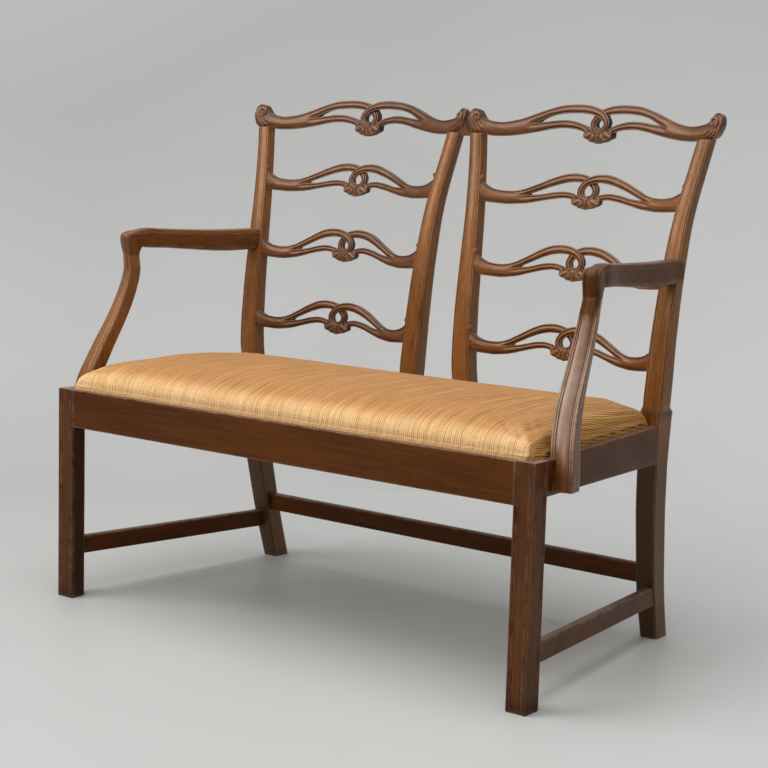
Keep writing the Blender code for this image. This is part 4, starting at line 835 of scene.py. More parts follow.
def woven(name, thread, dark, light):
    """Plain weave of coarse threads both ways, with uneven thickness."""
    material, draw = new_material(name)
    place = draw.object_place()
    slub = draw.noise(place, 160.0, 3.0, 0.6)
    waves = [draw.math("SINE", draw.plus(draw.times(draw.along(place, axis), math.pi / thread),
                                         draw.times(slub, 1.6))) for axis in (0, 1)]
    height = draw.between(draw.times(*waves), -0.8, 0.8)
    share = draw.plus(draw.times(height, 0.6), draw.times(slub, 0.5), True)
    draw.surface(draw.node("ShaderNodeBsdfPrincipled", {
        "Base Color": draw.blend(share, dark, light), "Roughness": draw.between(slub, 0.3, 0.7, 0.82, 0.96),
        "Normal": draw.bump(height, 0.7, 0.0006), "Specular IOR Level": 0.2}))
    return material


class SETTEE_OT_stage(bpy.types.Operator):
    """Set the floor, the wall, the lamps and the camera"""

    bl_idname = "settee.stage"
    bl_label = "Stage"

    def execute(self, context):
        look = context.scene.settee_stage
        place = np.array(CAMERA_PLACE)
        turn, tilt, roll = (math.radians(angle) for angle in CAMERA_TURN)
        back = np.array((math.sin(turn) * math.cos(tilt), -math.cos(turn) * math.cos(tilt), math.sin(tilt)))
        right = np.cross(-back, (0.0, 0.0, 1.0))
        right /= np.linalg.norm(right)
        up = np.cross(right, -back)
        rolled_right = math.cos(roll) * right + math.sin(roll) * up
        rolled_up = -math.sin(roll) * right + math.cos(roll) * up
        deselect()
        bpy.ops.object.camera_add()
        camera = context.active_object
        camera.name = "photo_camera"
        camera.data.lens = look.lens
        camera.data.sensor_width = SENSOR_WIDTH
        rows = np.eye(4)
        rows[:3, 0] = rolled_right
        rows[:3, 1] = rolled_up
        rows[:3, 2] = back
        rows[:3, 3] = place
        camera.matrix_world = Matrix(rows.tolist())
        context.scene.camera = camera
        level = np.array((math.sin(turn), -math.cos(turn), 0.0))
        self.sheet("studio_floor", (0.0, 0.0, 0.0), (0.0, 0.0, 0.0), FLOOR_SIZE, look.floor, right, 0.45)
        wall = place * (1, 1, 0) - level * WALL_DISTANCE + (0.0, 0.0, WALL_HEIGHT)
        self.sheet("studio_wall", tuple(wall), (math.pi / 2, 0.0, turn), WALL_SIZE, look.wall, right, 0.9)
        for name, where, size, power in (
                ("key_lamp", -level * 0.5 + right * -2.3 + (0.0, -1.6, 2.9), 2.6, look.key),
                ("fill_lamp", right * 2.6 + level * 1.8 + (0.0, 0.0, 1.7), 2.2, look.fill),
                ("front_lamp", level * 3.2 + right * -1.6 + (0.0, 0.0, 2.1), 1.8, look.fill * 3.4),
                ("top_lamp", level * 0.7 + right * -0.3 + (0.0, 0.0, 3.6), 3.2, look.top)):
            self.lamp(name, where, size, power)
        world = bpy.data.worlds.new("studio")
        context.scene.world = world
        world.use_nodes = True
        sky = world.node_tree.nodes["Background"]
        sky.inputs["Color"].default_value = (0.95, 0.97, 1.0, 1)
        sky.inputs["Strength"].default_value = 0.24
        context.scene.view_settings.view_transform = "Standard"
        return {"FINISHED"}

    def sheet(self, name, where, angles, size, colour, right, roughness):
        """A backdrop with painted shade, seen from its front only, so that it never hides the settee."""
        deselect()
        bpy.ops.mesh.primitive_plane_add(size=size, location=where, rotation=angles)
        piece = bpy.context.active_object
        piece.name = name
        bpy.ops.object.transform_apply(location=True, rotation=True, scale=True)
        material, draw = new_material(name)
        place = draw.object_place()
        # Painted shade: the sheet darkens upwards and towards the left, with faint cloudy mottling.
        cloudy = draw.between(draw.noise(place, 1.4, 3.0), 0.3, 0.7, 0.0, 0.06)
        darker = draw.plus(cloudy, draw.between(draw.along(place, 2), *STAGE_DARKER_HEIGHTS, 0.0, 0.80))
        across = draw.node("ShaderNodeVectorMath", {0: place, 1: tuple(right)}, operation="DOT_PRODUCT")
        darker = draw.plus(darker, draw.between(across.outputs["Value"], *STAGE_DARKER_SPAN, 0.50, 0.0), True)
        tint = draw.blend(darker, colour, [part * STAGE_DARK_SHARE for part in colour])
        shader = draw.node("ShaderNodeBsdfPrincipled", {"Base Color": tint, "Roughness": roughness,
                                                        "Specular IOR Level": 0.15})
        clear = draw.node("ShaderNodeBsdfTransparent")
        facing = draw.node("ShaderNodeNewGeometry").outputs["Backfacing"]
        draw.surface(draw.node("ShaderNodeMixShader", {0: facing, 1: shader.outputs[0],
                                                       2: clear.outputs[0]}))
        piece.data.materials.append(material)

    def lamp(self, name, where, size, power):
        """A square soft lamp turned towards the seat."""
        deselect()
        bpy.ops.object.light_add(type="AREA", location=tuple(where))
        lamp = bpy.context.active_object
        lamp.name = name
        lamp.data.shape = "SQUARE"
        lamp.data.size = size
        lamp.data.energy = power
        away = Vector(where)
        away.z -= LAMP_AIM_HEIGHT
        lamp.rotation_euler = away.to_track_quat("Z", "Y").to_euler()


def along_grid(low, high, step):
    """Places from low to high, no further apart than the step."""
    count = max(2, int(math.ceil((high - low) / step)) + 1)
    return np.linspace(low, high, count)


def side_rail_outer(depth):
    """Half width of the seat frame's outer face at a depth."""
    share = (depth - FRONT_LEG_SIDE) / (BACK_LEG_FRONT - FRONT_LEG_SIDE)
    return mix(FRONT_HALF_SPAN - RAIL_SET_BACK, BACK_HALF_SPAN, share)


def stile_row(rise_share):
    """Reach, width, front face and depth of a stile."""
    reach, width, rake, depth = read_rows(STILE_ROWS, rise_share)
    return (mix(STILE_FOOT[0], HEAD_REACH, reach), STILE_FOOT[1] * width,
            BACK_LEG_FRONT + STILE_RAKE * rake, STILE_FOOT[2] * depth)


def back_surface(height):
    """Front face of the stiles at a height."""
    flat = np.ravel(height)
    return stile_row((flat - RAIL_TOP) / STILE_RISE)[2].reshape(np.shape(height))


def edge_steps(scale):
    """Distances from an edge at which the bead, the quirk and the field are drawn."""
    look = bpy.context.scene.settee_wood
    bead = look.bead
    steps = np.array((0.0, 0.10, 0.30, 0.55, 1.0, 1.15, 1.33, 1.51, 1.66))
    return steps * bead * np.asarray(scale)[..., None]


def edge_relief(distance, scale):
    """How deep the wood lies below its face at a distance from a moulded edge."""
    look = bpy.context.scene.settee_wood
    size = look.bead * scale
    round_size = size * 0.55
    inside = np.clip(round_size - distance, 0.0, None)
    rounded = round_size - np.sqrt(np.clip(round_size ** 2 - inside ** 2, 0.0, None))
    groove = np.clip(1 - ((distance - size * 1.33) / (size * 0.34)) ** 2, 0.0, None)
    return rounded + look.quirk * scale * groove


class Ladder:
    """One crest or slat: its drawing, and its place on the bowed and raked back."""

    def __init__(self, sign, shapes, pattern_reach, reach, rise, height, depth, bow, set_back, droop):
        self.sign = sign
        self.top, self.bottom, self.tip, self.upper, self.lower = shapes
        self.pattern_reach = pattern_reach
        self.reach = reach
        self.rise = rise
        self.height = height
        self.depth = depth
        self.bow = bow
        self.set_back = set_back
        self.droop = droop

    def drawn(self, shares):
        """Drawn points in metres. Only what lies outside the knot follows the rail's reach."""
        points = np.array(shares, float)
        out = points[:, 0] * self.pattern_reach
        stretch = (self.reach - KNOT_HALF_WIDTH) / (self.pattern_reach - KNOT_HALF_WIDTH)
        past = out - KNOT_HALF_WIDTH
        points[:, 0] = np.where(past > 0, KNOT_HALF_WIDTH + past * stretch, out)
        points[:, 1:] *= self.rise
        return points

    def placed(self, points, centre_sign):
        """Out, up and inward to the settee's own axes."""
        out, up, inward = points[..., 0], points[..., 1], points[..., 2]
        fall = eased((out / self.reach - 0.25) / 0.5)
        height = self.height + up - self.droop * fall
        bend = self.bow * (1 - np.minimum(1.0, (out / self.reach) ** 2))
        depth = back_surface(height) + bend + self.set_back + inward
        if centre_sign != self.sign:
            out = np.where(out > EAR_START, EAR_START + (out - EAR_START) * CENTRE_EAR_SHARE, out)
        return np.stack((self.sign * BACK_CENTRE + centre_sign * out, depth, height), axis=-1)


def strip(first, second, first_edge, second_edge, taper, lift, depth, span=None):
    """Front, far side, back and near side of a moulded strip between two edge lines."""
    look = bpy.context.scene.settee_wood
    width = np.linalg.norm(second - first, axis=1)
    scale = np.clip(width / RIBBON_FULL_WIDTH, 0.55, 1.0)
    near = edge_steps(scale)
    field = 5
    start = near[:, -1:]
    spread = np.linspace(0.0, 1.0, field + 2)[1:-1][None, :]
    inner = start + (width[:, None] - 2 * start) * spread
    distance = np.concatenate((near, inner, width[:, None] - near[:, ::-1]), axis=1)
    deep = (edge_relief(distance, scale[:, None]) * first_edge[:, None]
            + edge_relief(width[:, None] - distance, scale[:, None]) * second_edge[:, None])
    own = np.sin(math.pi * np.clip((distance - start) / (width[:, None] - 2 * start), 0, 1)) ** 0.7
    crown = own * look.crown * RIBBON_CROWN_SHARE
    if span is not None:
        offset, total, forked = span
        whole = (distance + offset[:, None] - BROAD_CROWN_INSET) / (total[:, None] - 2 * BROAD_CROWN_INSET)
        broad = np.sin(math.pi * np.clip(whole, 0, 1)) ** 0.7 * look.crown
        crown = mix(broad, crown, forked[:, None])
    run = (second - first) / width[:, None]
    flat = first[:, None, :] + run[:, None, :] * distance[:, :, None]
    front = np.concatenate((flat, (deep - crown + lift[:, None])[:, :, None]), axis=2)
    rear_first = np.concatenate((first + run * (taper[0] * RIBBON_TAPER)[:, None],
                                 (depth + lift)[:, None]), axis=1)
    rear_second = np.concatenate((second - run * (taper[1] * RIBBON_TAPER)[:, None],
                                  (depth + lift)[:, None]), axis=1)
    wall = np.array((0.12, 0.5, 0.9))[None, :, None]
    far_side = mix(front[:, -1:], rear_second[:, None], wall)
    near_side = mix(rear_first[:, None], front[:, :1], 1 - wall[:, ::-1])
    across = np.linspace(0.0, 1.0, 5)[None, :, None]
    back = mix(rear_second[:, None], rear_first[:, None], across)
    return front, far_side, back, near_side


def ribbon_lines(centres, fork_first, fork_second):
    """Edge lines of a ribbon from its centre line, its widths and the fork that it leaves."""
    distance = travel(centres[:, :2])
    places = along_grid(0.0, distance[-1], CARVING_STEP)
    line = curve_through(distance, centres, places)
    run = np.gradient(line[:, :2], axis=0)
    run /= np.linalg.norm(run, axis=1)[:, None]
    across = np.stack((run[:, 1], -run[:, 0]), axis=1)
    forked = (fork_first - fork_second) / np.linalg.norm(fork_first - fork_second)
    across = mix(forked, across, eased(places / RIBBON_TURN_REACH)[:, None])
    across /= np.linalg.norm(across, axis=1)[:, None]
    half = line[:, 2:3] / 2
    return line[:, :2] + across * half, line[:, :2] - across * half, places / places[-1], places


def ladder_half(ladder, centre_sign, lift):
    """Sheets of one half of a crest or slat: the solid end, and the two ribbons it forks into."""
    top = ladder.drawn(ladder.top)
    bottom = ladder.drawn(ladder.bottom)
    tip = ladder.drawn([ladder.tip])[0]
    distance = (travel(top) + travel(bottom)) / 2
    places = along_grid(0.0, distance[-1], CARVING_STEP)
    high = curve_through(distance, top, places)
    low = curve_through(distance, bottom, places)
    share = math.dist(tip, top[-1]) / (math.dist(tip, top[-1]) + math.dist(tip, bottom[-1]))
    middle = mix(high, low, share)
    left = places[-1] - places
    near_fork = eased(1 - left / FORK_EDGE_REACH)
    middle += (tip - middle[-1]) * eased(1 - left / FORK_BEND_REACH)[:, None]
    count = len(places)
    none = np.zeros(count)
    ones = np.ones(count)
    upper_width = np.linalg.norm(high - middle, axis=1)
    total = upper_width + np.linalg.norm(middle - low, axis=1)
    upper = strip(high, middle, ones, near_fork, (ones, none), none, ladder.depth, (none, total, near_fork))
    lower = strip(middle, low, near_fork, ones, (none, ones), none, ladder.depth,
                  (upper_width, total, near_fork))
    band = np.concatenate((upper[0], lower[0][:, 1:], lower[1], lower[2], upper[2][:, 1:], upper[3]), axis=1)
    sheets = [wrap(ladder.placed(band, centre_sign))]
    for first, second, centres, height, outer in (
            (top[-1], tip, ladder.upper, lift, 0), (tip, bottom[-1], ladder.lower, LOWER_RIBBON_SINK, 1)):
        start = [*(first + second) / 2, math.dist(first, second)]
        line = np.vstack((start, ladder.drawn(centres)))
        edge_a, edge_b, shares, places = ribbon_lines(line, first, second)
        rise = height * eased((shares - 0.18) / 0.24)
        full = np.ones(len(shares))
        growing = eased(places / RIBBON_TAPER_REACH)
        taper = (full, growing) if outer == 0 else (growing, full)
        pieces = strip(edge_a, edge_b, full, full, taper, rise, ladder.depth)
        ring = np.concatenate(pieces, axis=1)
        sheets.append(wrap(ladder.placed(ring, centre_sign)))
    return sheets


def leaf_sheet(ladder):
    """The shell-like leaf below the knot, fluted and scalloped."""
    outline = np.array(LEAF) * (KNOT_HALF_WIDTH, ladder.rise)
    closed = np.vstack((outline, outline[:1]))
    distance = travel(closed)
    rim = curve_through(distance, closed, np.linspace(0, distance[-1], LEAF_COLUMNS, endpoint=False))
    middle = np.array((0.0, LEAF_MIDDLE_SHARE * ladder.rise))
    root = np.array((0.0, LEAF_ROOT_SHARE * ladder.rise))
    rows = []
    for share, back in LEAF_ROWS:
        flat = mix(middle, rim, share)
        bearing = np.arctan2(flat[:, 0] - root[0], root[1] - flat[:, 1])
        reach = np.linalg.norm(flat - root, axis=1)
        flute = np.cos(bearing * LEAF_FLUTES)
        strength = eased((reach - LEAF_FLUTE_START) / LEAF_FLUTE_REACH)
        scallop = 1 + 0.035 * flute * eased((share - 0.6) / 0.4)
        flat = middle + (flat - middle) * scallop[:, None]
        dome = LEAF_DOME * (1 - share ** 2.2) + LEAF_RIM_HEIGHT * np.exp(-((share - 0.9) / 0.06) ** 2)
        front = (-LEAF_INSET - dome
                 - LEAF_FLUTE_DEPTH * flute * strength * (1 - eased((share - 0.9) / 0.1) * 0.6))
        inward = mix(front, ladder.depth - LEAF_INSET, back)
        rows.append(np.concatenate((flat, inward[:, None]), axis=1))
    return wrap(ladder.placed(np.array(rows), 1))


def strand_rings(path, radii, sides=12):
    """Round sections along a path of out, up and inward."""
    run = np.gradient(path, axis=0)
    run /= np.linalg.norm(run, axis=1)[:, None]
    across = np.cross(run, (0.0, 0.0, -1.0))
    across /= np.linalg.norm(across, axis=1)[:, None]
    rise = np.cross(across, run)
    angle = np.linspace(0.0, 2 * math.pi, sides, endpoint=False)
    spokes = (np.cos(angle)[None, :, None] * across[:, None] + np.sin(angle)[None, :, None] * rise[:, None])
    return path[:, None] + spokes * radii[:, None, None]


class SETTEE_OT_ladders(bpy.types.Operator):
    """Carve the crests and slats with their interlaced ribbons, knots and leaves"""

    bl_idname = "settee.ladders"
    bl_label = "Crests and slats"

    def execute(self, context):
        crest_shapes = (CREST_TOP, CREST_BOTTOM, CREST_TIP, CREST_UPPER, CREST_LOWER)
        slat_shapes = (SLAT_TOP, SLAT_BOTTOM, SLAT_TIP, SLAT_UPPER, SLAT_LOWER)
        for side, sign in SIDES:
            crest = Ladder(sign, crest_shapes, CREST_REACH, CREST_REACH, CREST_RISE, CREST_HEIGHT,
                           CREST_DEPTH, CREST_BOW, 0.0, 0.0)
            self.carve(f"crest_rail_{side}", crest, -sign)
            for level, height, bow, droop, over in SLATS:
                reach, width = stile_row((height - RAIL_TOP) / STILE_RISE)[:2]
                slat = Ladder(sign, slat_shapes, SLAT_PATTERN_REACH, reach[0] - width[0] / 2 + SLAT_TENON,
                              SLAT_RISE, height, SLAT_DEPTH, bow, SLAT_SET_BACK, droop)
                self.carve(f"slat_{level}_{side}", slat, over)
        return {"FINISHED"}

    def carve(self, node, ladder, over_sign):
        """One whole crest or slat in place of its solid."""
        crest = node.startswith("crest")
        over = close_up("over", *ladder_half(ladder, over_sign, -RIBBON_OVER))
        under = close_up("under", *ladder_half(ladder, -over_sign, RIBBON_UNDER))
        leaf = close_up("leaf", leaf_sheet(ladder))

        # Painted shade: darkens the walls of the piercings, the flanks of the ribbons and, on crests, the
        # ground round the ears, fading off on the outermost ear faces.
        def ground(places, normals):
            past = np.abs(places[:, 0] - ladder.sign * BACK_CENTRE) - EAR_START
            carved = eased((past - EAR_GROUND[0]) / EAR_GROUND[1]) * 0.45 * crest
            outermost = eased((past - EAR_FACE[0]) / EAR_FACE[1]) * crest
            flank = eased((0.90 + normals[:, 1]) / 0.26) * eased((0.50 - normals[:, 1]) / 0.4) * 0.72
            return np.maximum(np.maximum(sideways(normals), flank) * (1 - outermost),
                              carved * (1 - outermost * 0.6))

        parts = [over, under, leaf]
        for part in parts:
            note_shade(part, ground)
        for centre_sign in (1, -1):
            parts += self.scroll(ladder, LEAF_SCROLL, centre_sign, 0.0)
            if crest:
                parts += self.scroll(ladder, EAR_SCROLL, centre_sign, 0.0)
                parts += [self.strand(ladder, points, centre_sign) for points in EAR_STRANDS]
            else:
                parts += self.scroll(ladder, NIB_SCROLL, centre_sign, ladder.reach)
        piece = join_as(f"carved_{node}", *parts)
        finish(piece, carved_wood(node), "frame", (node,), 46.0)

    def scroll(self, ladder, shape, centre_sign, start):
        """A carved curl on the face, and the round eye in its middle."""
        out, up, first, last, thick, bearing, turns = shape
        share = np.linspace(0.0, 1.0, SCROLL_POINTS)
        angle = bearing + share * turns * 2 * math.pi
        radius = mix(first, last, share)
        face = SCROLL_FACE * np.clip(thick / EAR_SCROLL[4], 0.5, 1.0)
        path = np.stack((start + out + radius * np.cos(angle), up + radius * np.sin(angle),
                         np.full(len(share), face)), axis=1)
        size = thick * mix(1.0, 0.62, share) * np.sqrt(np.clip(share / 0.12, 0.05, 1.0))
        curl = close_up("curl", wrap(ladder.placed(strand_rings(path, size), centre_sign)))
        slope = np.linspace(0.0, 0.48 * math.pi, 7)[:, None]
        round_eye = np.linspace(0.0, 2 * math.pi, 16, endpoint=False)[None, :]
        level = last * SCROLL_EYE_SHARE * np.cos(slope)
        eye = np.stack((start + out + level * np.cos(round_eye), up + level * np.sin(round_eye),
                        face - thick * 0.9 * np.sin(slope) + 0.0 * round_eye), axis=2)
        return [curl, close_up("eye", wrap(ladder.placed(eye, centre_sign)))]

    def strand(self, ladder, points, centre_sign):
        """A tapered leaf strand that runs down from an ear."""
        flat = np.array(points)
        distance = travel(flat)
        line = curve_through(distance, flat, np.linspace(0.0, distance[-1], STRAND_POINTS))
        share = np.linspace(0.0, 1.0, STRAND_POINTS)
        path = level_ring(line, SCROLL_FACE * 0.7)
        size = STRAND_RADIUS * np.sin(math.pi * np.clip(share * 0.82 + 0.12, 0, 1)) ** 0.6
        return close_up("strand", wrap(ladder.placed(strand_rings(path, size), centre_sign)))


def moulded_ring(half, depth, moulded, crown, corner=0.0030):
    """A section seen from above: moulded front, square sides and back. Across, then inwards."""
    steps = edge_steps(1.0)
    field = np.linspace(-1.0, 1.0, 9)[1:-1] * (half - steps[-1])
    across = np.concatenate((-half + steps, field, (half - steps)[::-1]))
    from_edge = half - np.abs(across)
    deep = edge_relief(from_edge, 1.0) * moulded
    deep += np.clip(corner - from_edge, 0.0, None) * (1 - moulded)
    share = np.clip(from_edge / half, 0, 1)
    deep -= crown * np.sin(share * math.pi / 2) ** 1.4
    front = np.stack((across, deep), axis=1)
    edge = 0.0022
    right = np.array(((half, 0.25 * depth), (half, 0.6 * depth), (half, depth - 3 * edge),
                      (half, depth - edge), (half - edge * 0.3, depth - edge * 0.3), (half - edge, depth)))
    left = right[::-1] * (-1, 1)
    back = np.array(((half * 0.6, depth), (0.0, depth), (-half * 0.6, depth)))
    return np.concatenate((front, right, back, left))


class SETTEE_OT_stiles(bpy.types.Operator):
    """Shape the stiles with their moulded fronts, and the raked back legs below them"""

    bl_idname = "settee.stiles"
    bl_label = "Stiles and back legs"

    def execute(self, context):
        look = context.scene.settee_wood
        top = RAIL_TOP + STILE_RISE
        for side, sign in SIDES:
            rings = []
            for height in along_grid(0.0, RAIL_BOTTOM, BACK_LEG_STEP):
                spread, rake, width, depth = read_row(BACK_LEG_ROWS, height / RAIL_BOTTOM)
                wide = mix(BACK_FOOT_SIZE[0], BACK_LEG_SIZE[0], width)
                centre = mix(BACK_HALF_SPAN, BACK_FOOT_HALF_SPAN, spread) - wide / 2
                deep = mix(BACK_FOOT_SIZE[1], BACK_LEG_SIZE[1], depth)
                front = BACK_LEG_FRONT + BACK_FOOT_RAKE * rake
                shape = moulded_ring(wide / 2, deep, 0.0, BACK_LEG_CROWN)
                rings.append(self.ring(centre, front, height, shape))
            centre = BACK_HALF_SPAN - BACK_LEG_SIZE[0] / 2
            for height, deep in ((RAIL_TOP - 0.004, RAIL_JOINT_DEPTH), (RAIL_TOP, RAIL_JOINT_DEPTH),
                                 (RAIL_TOP + SHOULDER[1], SHOULDER[0])):
                rings.append(self.ring(centre, BACK_LEG_FRONT, height,
                                       moulded_ring(BACK_LEG_SIZE[0] / 2, deep, 0.0, BACK_LEG_CROWN)))
            rings += self.stile(along_grid(RAIL_TOP + SHOULDER[2], top, STILE_STEP), 1, look.crown)
            piece = close_up(f"shaped_back_leg_{side}", wrap(np.array(rings) * (sign, 1, 1)))
            # Painted shade under the seat: the back legs darken below the seat rail, less on their sides.
            note_shade(piece, lambda places, normals: eased((RAIL_TOP - places[:, 2]) / 0.09)
                       * mix(0.82, 0.50, np.abs(normals[:, 0])))
            finish(piece, back_wood("Z"), "frame", (f"back_leg_{side}",))
            rings = self.stile(along_grid(RAIL_TOP + JOINT_GAP, top, STILE_STEP), -1, look.crown)
            piece = close_up(f"shaped_centre_stile_{side}", wrap(np.array(rings) * (sign, 1, 1)))
            finish(piece, back_wood("Z"), "frame", (f"centre_stile_{side}",))
        return {"FINISHED"}

    def ring(self, centre, front, height, shape):
        """A level section of a stile or leg at its place."""
        return level_ring(shape + (centre, front), height)

    def stile(self, heights, centre_sign, crown):
        """Sections of the stile above the seat rail."""
        rings = []
        for height in heights:
            share = (height - RAIL_TOP) / STILE_RISE
            reach, width, front, depth = (value[0] for value in stile_row(share))
            if centre_sign > 0:
                reach -= OUTER_STILE_SET_IN * min(share / 0.3, 1.0)
            moulded = float(eased((height - RAIL_TOP - 0.025) / 0.03))
            shape = moulded_ring(width / 2, depth, moulded, crown)
            rings.append(self.ring(BACK_CENTRE + centre_sign * reach, front, height, shape))
        return rings


def reeded_ring(width, deep, reeded, crown, edge, swell):
    """A section with three reeds across its front, or a plain round one. Across, then inwards share."""
    across = np.linspace(-1.0, 1.0, REED_COLUMNS)
    side = np.abs(across)
    rises = [np.sqrt(np.clip(1 - ((side - centre) / wide) ** 2, 0, None)) * rise
             for centre, wide, rise in REEDS]
    reeds = REEDS[-1][2] - np.max(rises, axis=0)
    plain = -crown * (1 - side ** 2.4) + edge * eased((side - 0.72) / 0.28) * 0.9
    front = mix(plain, reeds, reeded)
    half = width / 2
    rows = [(half * a, f) for a, f in zip(across, front)]
    rows += [(half * (1 + swell * 0.4), 0.20 * deep), (half * (1 + swell), 0.45 * deep),
             (half * (1 + swell * 0.6), 0.72 * deep), (half, deep - edge * 1.1),
             (half - edge * 0.35, deep - edge * 0.35), (half - edge * 1.1, deep)]
    under = [(half * 0.4, deep), (0.0, deep), (-half * 0.4, deep)]
    mirrored = [(-x, y) for x, y in rows[:REED_COLUMNS - 1:-1]]
    return np.array(rows + under + mirrored)


def turned_rings(table, shapes, sign):
    """Sections set between a front line and a rear line and turned in plan about a pivot."""
    rings = []
    for row, shape in zip(table, shapes):
        centre, front_y, front_z, rear_y, rear_z, turn, pivot = row
        run = np.array((rear_y - front_y, rear_z - front_z))
        run /= np.linalg.norm(run)
        back = front_y + run[0] * shape[:, 1] - pivot
        height = front_z + run[1] * shape[:, 1]
        across = shape[:, 0]
        rings.append(np.stack((sign * (centre + across * math.cos(turn) - back * math.sin(turn)),
                               pivot + across * math.sin(turn) + back * math.cos(turn), height), axis=1))
    return np.array(rings)


class SETTEE_OT_arms(bpy.types.Operator):
    """Shape the arms with their knuckles, and the reeded supports below them"""

    bl_idname = "settee.arms"
    bl_label = "Arms and supports"

    def execute(self, context):
        for side, sign in SIDES:
            self.arm(side, sign)
            self.support(side, sign)
        return {"FINISHED"}

    def arm(self, side, sign):
        """From the lap on the stile forward and down over the knuckle."""
        length = ARM_REAR_END - ARM_KNUCKLE_FRONT
        knots = []
        for share in ARM_COLUMNS:
            spread, wide, hump, tall = read_row(ARM_ROWS, share)
            ahead = min(share + ARM_SLOPE_SHARE, 1.0)
            behind = max(share - ARM_SLOPE_SHARE, 0.0)
            rise = read_row(ARM_ROWS, ahead)[0] - read_row(ARM_ROWS, behind)[0]
            turn = math.atan(rise / (ahead - behind) * (ARM_SPANS[1] - ARM_SPANS[0]) / length)
            y = ARM_REAR_END - length * share
            top = ARM_TOP + ARM_HUMP * hump
            knots.append((mix(*ARM_SPANS, spread), y, top, y, top - mix(*ARM_HEIGHTS, tall), turn, y,
                          mix(*ARM_WIDTHS, wide), 0.0))
        height = ARM_KNUCKLE_TOP - ARM_SCARF
        base_turn = knots[-1][5]
        for k, (out, up, under_out, under_up) in enumerate(KNUCKLE_ROWS):
            share = (k + 1) / len(KNUCKLE_ROWS)
            knots.append((ARM_SPANS[1], ARM_KNUCKLE_FRONT + out * KNUCKLE_DEPTH, ARM_SCARF + up * height,
                          ARM_KNUCKLE_FRONT + under_out * KNUCKLE_DEPTH, ARM_SCARF + under_up * height,
                          mix(base_turn, SUPPORT_TURNS[1], share),
                          ARM_KNUCKLE_FRONT + KNUCKLE_ROWS[-1][0] * KNUCKLE_DEPTH * share,
                          ARM_WIDTHS[0], share))
        knots = np.array(knots)
        middle = (knots[:, 1:3] + knots[:, 3:5]) / 2
        distance = travel(middle) * 0.4 + travel(knots[:, 1:3]) * 0.6
        rows = curve_through(distance, knots, along_grid(0.0, distance[-1], ARM_STEP))
        shapes = []
        for row in rows:
            deep = math.dist(row[1:3], row[3:5])
            reeded = float(eased(row[8] * 2.0))
            shapes.append(reeded_ring(row[7], deep, reeded, 0.0035, mix(0.0060, 0.0032, reeded),
                                      mix(0.02, 0.0, reeded)))
        sheet = wrap(turned_rings(rows[:, :7], shapes, sign))
        piece = close_up(f"shaped_arm_{side}", sheet)
        finish(piece, arm_wood(side), "frame", (f"arm_{side}",))

    def support(self, side, sign):
        """From the lap on the side rail up to the knuckle."""
        rows = []
        shapes = []
        for share in along_grid(0.0, 1.0, SUPPORT_STEP_SHARE):
            sweep, spread, wide = read_row(SUPPORT_ROWS, share)
            z = mix(SUPPORT_FOOT, ARM_SCARF - JOINT_GAP, share)
            front = SUPPORT_FOOT_FRONT + SUPPORT_SWEEP * sweep
            depth = mix(SUPPORT_FOOT_SIZE[1], SUPPORT_HEAD_DEPTH, share)
            ended = float(eased((share - 0.90) / 0.10))
            centre = ARM_SPANS[1] - SUPPORT_LAP / 2 * (1 - ended) + SUPPORT_SPREAD * spread
            rows.append((centre, front, z, front + depth, z, mix(*SUPPORT_TURNS, share), front))
            shapes.append(reeded_ring(mix(ARM_WIDTHS[0], SUPPORT_FOOT_SIZE[0], wide), depth, 1.0, 0.0, 0.0032,
                                      0.0))
        piece = close_up(f"shaped_arm_support_{side}", wrap(turned_rings(rows, shapes, sign)))
        finish(piece, support_wood(side), "frame", (f"arm_support_{side}",))


def leg_face():
    """Share across a front leg's face and depth of its corner beads, fine beads and shallow hollow."""
    places = np.linspace(0.0, 0.99, 78)
    depths = 0.62 - 0.10 * np.cos((places - 0.5) * 2 * math.pi)
    for centre, half, rise in FRONT_LEG_BEADS:
        offset = np.abs(places - centre) / half
        bead = np.sqrt(np.clip(1 - offset ** 2, 0.0, None))
        depths = depths - rise * bead + 0.42 * np.clip(1 - ((offset - 1.12) / 0.22) ** 2, 0.0, None)
    return places, depths


